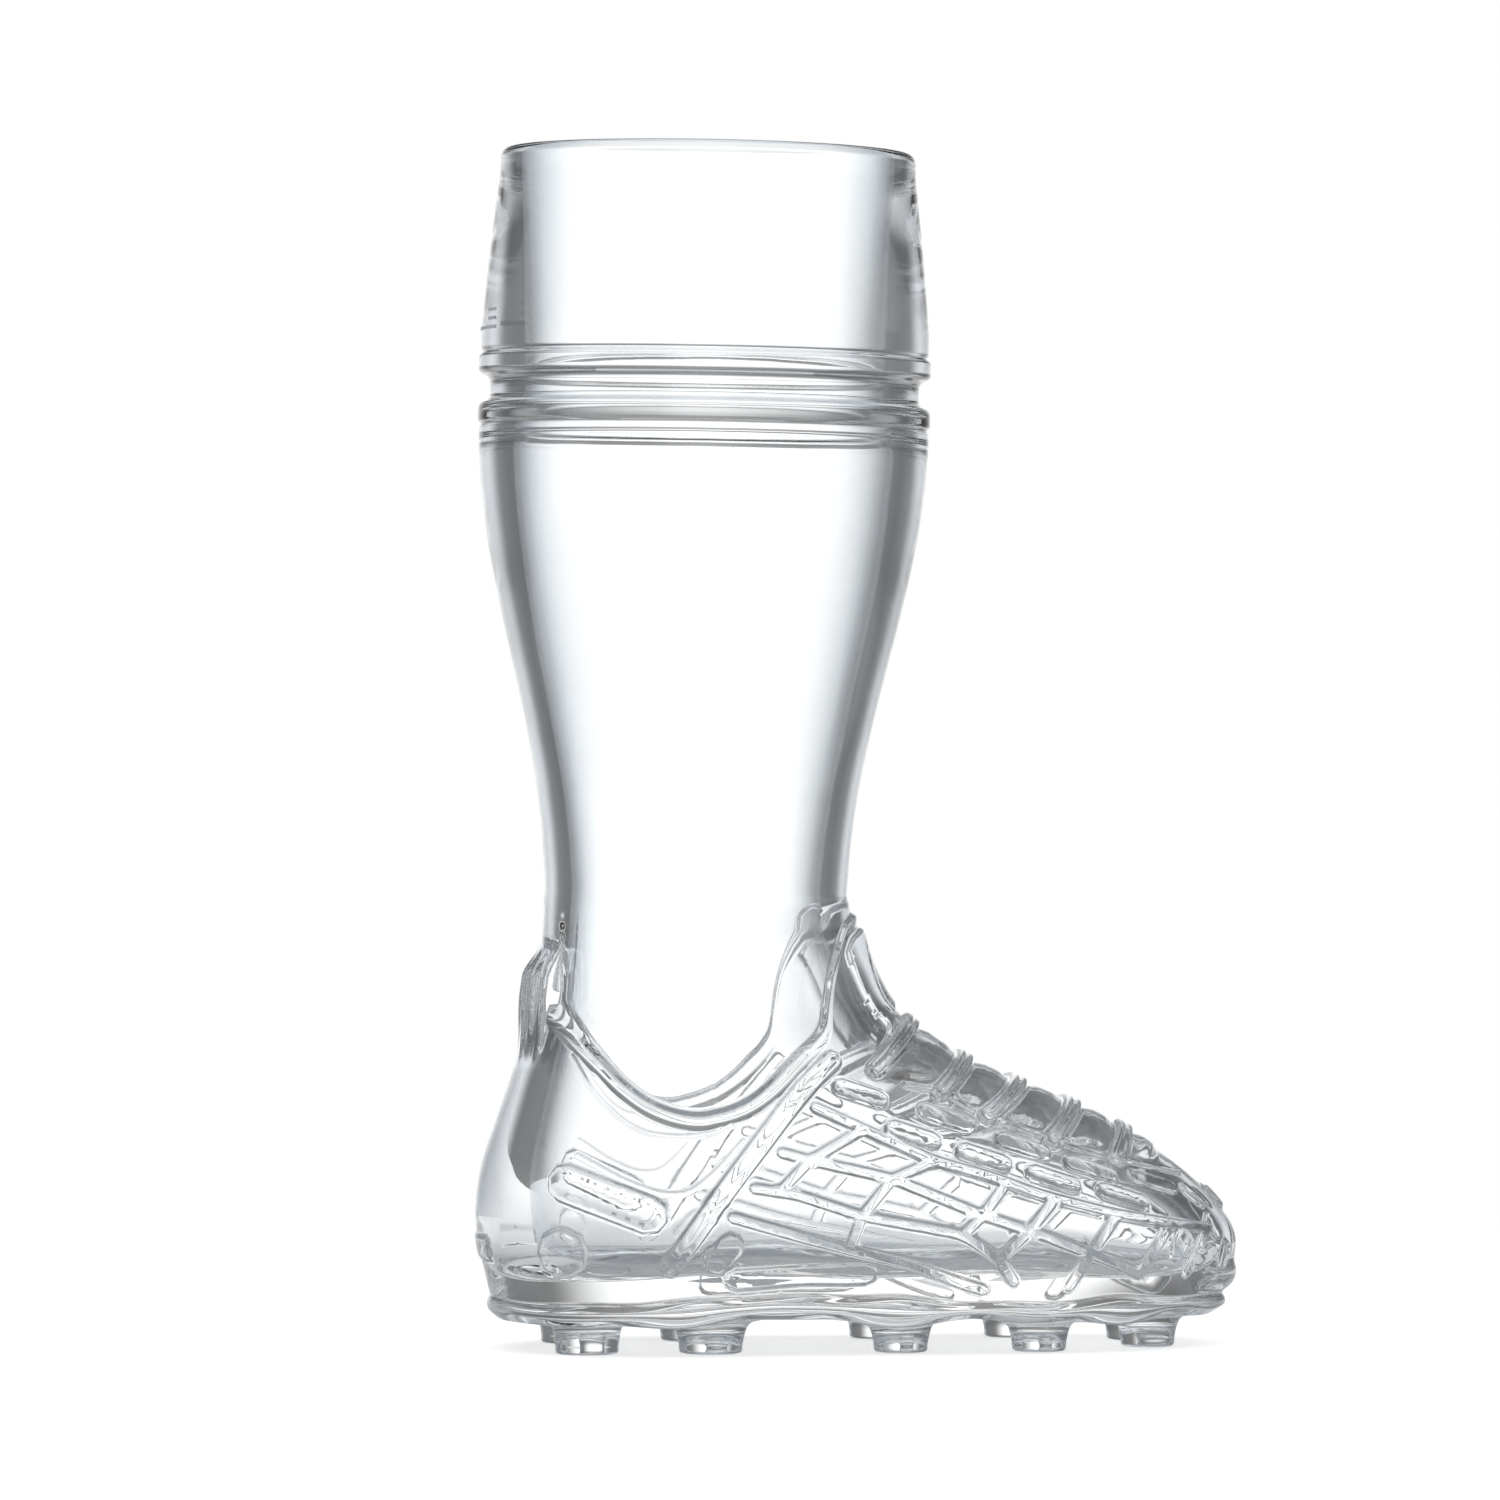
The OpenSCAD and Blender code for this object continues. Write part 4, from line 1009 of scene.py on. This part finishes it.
for part in (sole, plate):
    for v in part.data.vertices:
        x, y, z = v.co / MM
        share = soft((z - 0.9) / (stud_h - 1)) * soft((welt_z - z) / (welt_z - stud_h))
        near = min(math.hypot(x - a, y - b) - r for a, b, r, flare in stud_spots)
        rise = share * (sole_wave(x, y) + 0.55) * soft((near + 0.5) / 4)
        v.co.z += float(rise + welt_wave(x) * soft((z - stud_h) / (welt_z - stud_h))) * MM
print("studs end at", round(min(v.co.z for v in plate.data.vertices) / MM, 3))

# %% [markdown]
# The five parts share their edge rings point for point, so they are joined and their doubles
# merged, which leaves one closed skin of glass. The count of open edges has to be nought.

# %% One skin of glass
glass = joined("glass_boot", upper, leg, hollow, sole, plate)
edit_whole(glass)
bpy.ops.mesh.remove_doubles(threshold=8e-6)
bpy.ops.mesh.dissolve_degenerate(threshold=2e-6)
bpy.ops.mesh.select_all(action="SELECT")
bpy.ops.mesh.normals_make_consistent(inside=False)
bpy.ops.object.mode_set(mode="OBJECT")
bpy.ops.object.shade_smooth()
uses = {}
for face in glass.data.polygons:
    for key in face.edge_keys:
        uses[key] = uses.get(key, 0) + 1
print("glass", sum(len(f.vertices) - 2 for f in glass.data.polygons), "triangles, open edges",
      sum(n == 1 for n in uses.values()), "crowded edges", sum(n > 2 for n in uses.values()))

# %% [markdown]
# Blender guesses a smooth normal from the triangles round a point, and on thin relief that guess
# wobbles from point to point, which glass shows as broken lines. The relief is a formula, so its
# true direction is known at every point of the skin, and it is written in as the mesh's normals.

# %% True normals on the relief
known = KDTree(len(raised_points))
for k, point in enumerate(raised_points):
    known.insert(point * MM, k)
known.balance()
normals = []
for v in glass.data.vertices:
    _, k, away = known.find((v.co.x, abs(v.co.y), v.co.z))
    if away < 2e-6 and welt_z + 0.2 < half[k, 1] < ankle_z - 0.2:
        x, y, z = half_normals[k]
        normals.append((x, 0.0 if abs(v.co.y) < 1e-7 else math.copysign(1, v.co.y) * y, z))
    else:
        normals.append(tuple(v.normal))
glass.data.normals_split_custom_set_from_vertices(normals)
print("normals set", len(normals))

# %% [markdown]
# A thin fill line with two short ticks is on the cuff. On the real glass such marks are etched or
# printed, so they are a thin frosted layer that sits in the surface of the glass. Each one is a
# small section spun round the leg's axis.

# %% Fill marks
mark_objects = []
for k, sweep in enumerate((20, 6, 6)):
    low = cuff_z + 3.6 + 1.5 * k
    start = math.radians(196)
    corners = [(r, low + h) for r, h in ((cuff_r - 0.06, 0), (cuff_r + 0.08, 0.05),
                                         (cuff_r + 0.08, 0.55), (cuff_r - 0.06, 0.6))]
    mark = mesh_piece("mark", [(leg_x + r * math.cos(start), r * math.sin(start), z)
                               for r, z in corners], [(0, 1, 2, 3)])
    spin_whole(mark, sweep, math.radians(sweep))
    bpy.ops.object.mode_set(mode="OBJECT")
    mark_objects.append(mark)
marks = joined("fill_marks_frosted", *mark_objects)
edit_whole(marks)
tip_selected()
bpy.ops.mesh.normals_make_consistent(inside=False)
bpy.ops.object.mode_set(mode="OBJECT")
print("fill marks", len(marks.data.polygons), "faces")

# %% [markdown]
# Shader sums read best as sums. This small class holds one output of a node and adds a Math node
# for each sign, and its add method makes any other node: its settings first, then its sockets.

# %% Sums with sockets
class Wire:
    def __init__(self, tree, socket=None):
        self.tree, self.socket = tree, socket

    def add(self, kind, settings=None, sockets=None, out=0):
        node = self.tree.nodes.new(kind)
        for name, value in (settings or {}).items():
            setattr(node, name, value)
        for name, value in (sockets or {}).items():
            if isinstance(value, Wire):
                self.tree.links.new(value.socket, node.inputs[name])
            else:
                node.inputs[name].default_value = value
        return Wire(self.tree, node.outputs[out]) if node.outputs else node

    def sum(self, operation, a, b=0.0):
        return self.add("ShaderNodeMath", {"operation": operation}, {0: a, 1: b})

    def __add__(self, other):
        return self.sum("ADD", self, other)

    def __radd__(self, other):
        return self.sum("ADD", other, self)

    def __sub__(self, other):
        return self.sum("SUBTRACT", self, other)

    def __rsub__(self, other):
        return self.sum("SUBTRACT", other, self)

    def __mul__(self, other):
        return self.sum("MULTIPLY", self, other)

    def __rmul__(self, other):
        return self.sum("MULTIPLY", other, self)

    def between(self, low, high, to_low=0.0, to_high=1.0):
        return self.add("ShaderNodeMapRange", {"interpolation_type": "SMOOTHSTEP"},
                        {"Value": self, "From Min": low, "From Max": high,
                         "To Min": to_low, "To Max": to_high})


# %% Start of a material, and noise
def new_material(name):
    material = bpy.data.materials.new(name)
    material.use_nodes = True
    material.node_tree.nodes.clear()
    return material, Wire(material.node_tree)


def noise(tree, scale, detail=2.0, rough=0.5):
    place = tree.add("ShaderNodeTexCoord", out="Object")
    return tree.add("ShaderNodeTexNoise", {}, {"Vector": place, "Scale": scale, "Detail": detail,
                                               "Roughness": rough})


# %% [markdown]
# Moulded soda-lime glass is clear, and its faint cool tint is its own. Where a face is seen edge
# on, its colour
#  is darkened to a cool grey: that is painted shade, which draws the dark edges that the light
#      gives
#  clear glass. The surface left the mould slightly wavy, and the rim was melted smooth afterwards.
#  The waves are bump, in two sizes.

# %% Glass
def glass_material(name, glass_tint_and_edge_shade, edge, wave, ripple):
    material, tree = new_material(name)
    facing = tree.add("ShaderNodeLayerWeight", {}, {"Blend": 0.5}, "Facing")
    # painted shade: the colour goes from the glass's own tint to a darker grey where a face is seen
    # edge on
    painted_edge_shade = facing.between(0.08, 0.7)
    glass_tint_and_edge_shade = tree.add("ShaderNodeMix", {"data_type": "RGBA"}, {0: painted_edge_shade, 6: glass_tint_and_edge_shade, 7: edge}, 2)
    height = noise(tree, 70.0, 1.0) * wave + noise(tree, 420.0, 2.0) * ripple
    bump = tree.add("ShaderNodeBump", {}, {"Strength": 1.0, "Distance": 1.0, "Height": height})
    shader = tree.add("ShaderNodeBsdfPrincipled", {}, {
        "Base Color": glass_tint_and_edge_shade, "Roughness": 0.0, "IOR": 1.5, "Transmission Weight": 1.0,
        "Normal": bump})
    tree.add("ShaderNodeOutputMaterial", {}, {"Surface": shader})
    return material


# the second colour is painted shade, the darker grey given to faces seen edge on
clear = glass_material("clear moulded glass", (0.975, 0.985, 0.99, 1), (0.52, 0.57, 0.62, 1),
                       0.03 * MM, 0.002 * MM)
glass.data.materials.clear()
glass.data.materials.append(clear)
print("glass materials", len(glass.data.materials))

# %% Frosted marks
frosted, tree = new_material("frosted mark")
grain = noise(tree, 2500.0, 3.0)
shader = tree.add("ShaderNodeBsdfPrincipled", {}, {
    "Base Color": (0.62, 0.66, 0.7, 1), "Roughness": grain.between(0.3, 0.7, 0.45, 0.75),
    "Transmission Weight": 0.3, "IOR": 1.5})
tree.add("ShaderNodeOutputMaterial", {}, {"Surface": shader})
marks.data.materials.append(frosted)
print("frosted faces", len(marks.data.polygons))

# %% [markdown]
# The studio is a white room with darker gaps, as a glass photographer builds it: white behind the
# glass, and grey at its sides, which draws the edges of clear glass as dark lines. The white
# panels repeat every 90 degrees, so that the glass has white behind it from the front, the back
# and both sides. Over them is a dark band, which draws the upper side of each raised line. Far
# down the room is as bright as the floor, so that the floor's edge doesn't show in the leg.

# %% Studio light
world = bpy.data.worlds.new("studio")
bpy.context.scene.world = world
world.use_nodes = True
world.node_tree.nodes.clear()
tree = Wire(world.node_tree)
way = tree.add("ShaderNodeTexCoord", out="Generated")
split = tree.add("ShaderNodeSeparateXYZ", {}, {0: way})
x, y, z = (Wire(world.node_tree, split.socket.node.outputs[i]) for i in range(3))
turn = tree.sum("ARCTAN2", y, x) - (math.pi / 2 - view_turn / 2)
panel = tree.sum("COSINE", turn * 4).between(-0.65, 0.9, 0.2, 1.25)
wall = panel * z.between(0.09, 0.26, 1.0, 0.12) + z.between(0.09, 0.26) * 0.12
light = wall + (1.2 - wall) * z.between(0.55, 0.85)
light = light + (0.95 - light) * (0.0 - z).between(0.19, 0.245)
seen = tree.add("ShaderNodeLightPath", out="Is Camera Ray")
light = light + (1.0 - light) * seen
background = tree.add("ShaderNodeBackground", {}, {"Color": (1, 1, 1, 1), "Strength": light})
tree.add("ShaderNodeOutputWorld", {}, {"Surface": background})
print("studio panels every 90 degrees")

# %% [markdown]
# The floor is a plain pale disc. The glass sees it darker right under the boot, where a real table
# is in the shade of the thick sole, and bright further out.

# %% Floor
bpy.ops.object.select_all(action="DESELECT")
bpy.ops.mesh.primitive_circle_add(vertices=128, radius=0.35, fill_type="NGON")
floor = bpy.context.object
floor.name = floor.data.name = "floor"
pale, tree = new_material("pale floor")
direct = tree.add("ShaderNodeLightPath", out="Is Camera Ray")
place = tree.add("ShaderNodeTexCoord", out="Object")
away = tree.add("ShaderNodeVectorMath", {"operation": "LENGTH"}, {0: place}, 1)
shade = tree.add("ShaderNodeMix", {"data_type": "RGBA"}, {
    0: away.between(0.08, 0.3), 6: (0.15, 0.16, 0.17, 1), 7: (0.5, 0.5, 0.5, 1)}, 2)
shade = tree.add("ShaderNodeMix", {"data_type": "RGBA"}, {
    0: direct, 6: shade, 7: (0.65, 0.65, 0.65, 1)}, 2)
shader = tree.add("ShaderNodeBsdfPrincipled", {}, {
    "Base Color": (0.8, 0.8, 0.8, 1), "Roughness": 0.9, "Specular IOR Level": 0.0,
    "Emission Color": shade, "Emission Strength": 1.0})
tree.add("ShaderNodeOutputMaterial", {}, {"Surface": shader})
floor.data.materials.append(pale)
print("floor", round(floor.dimensions.x, 2), "m across")

# %% Render settings of the glass
scene = bpy.context.scene
scene.view_settings.view_transform = "Standard"
scene.cycles.max_bounces = 24
scene.cycles.transmission_bounces = 24
scene.cycles.glossy_bounces = 12
print("light paths up to", scene.cycles.max_bounces)

# %% Tie the pieces to the frame
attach(glass, "root")
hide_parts(*[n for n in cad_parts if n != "fill_marks"])
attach(marks, "root")
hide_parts("fill_marks")
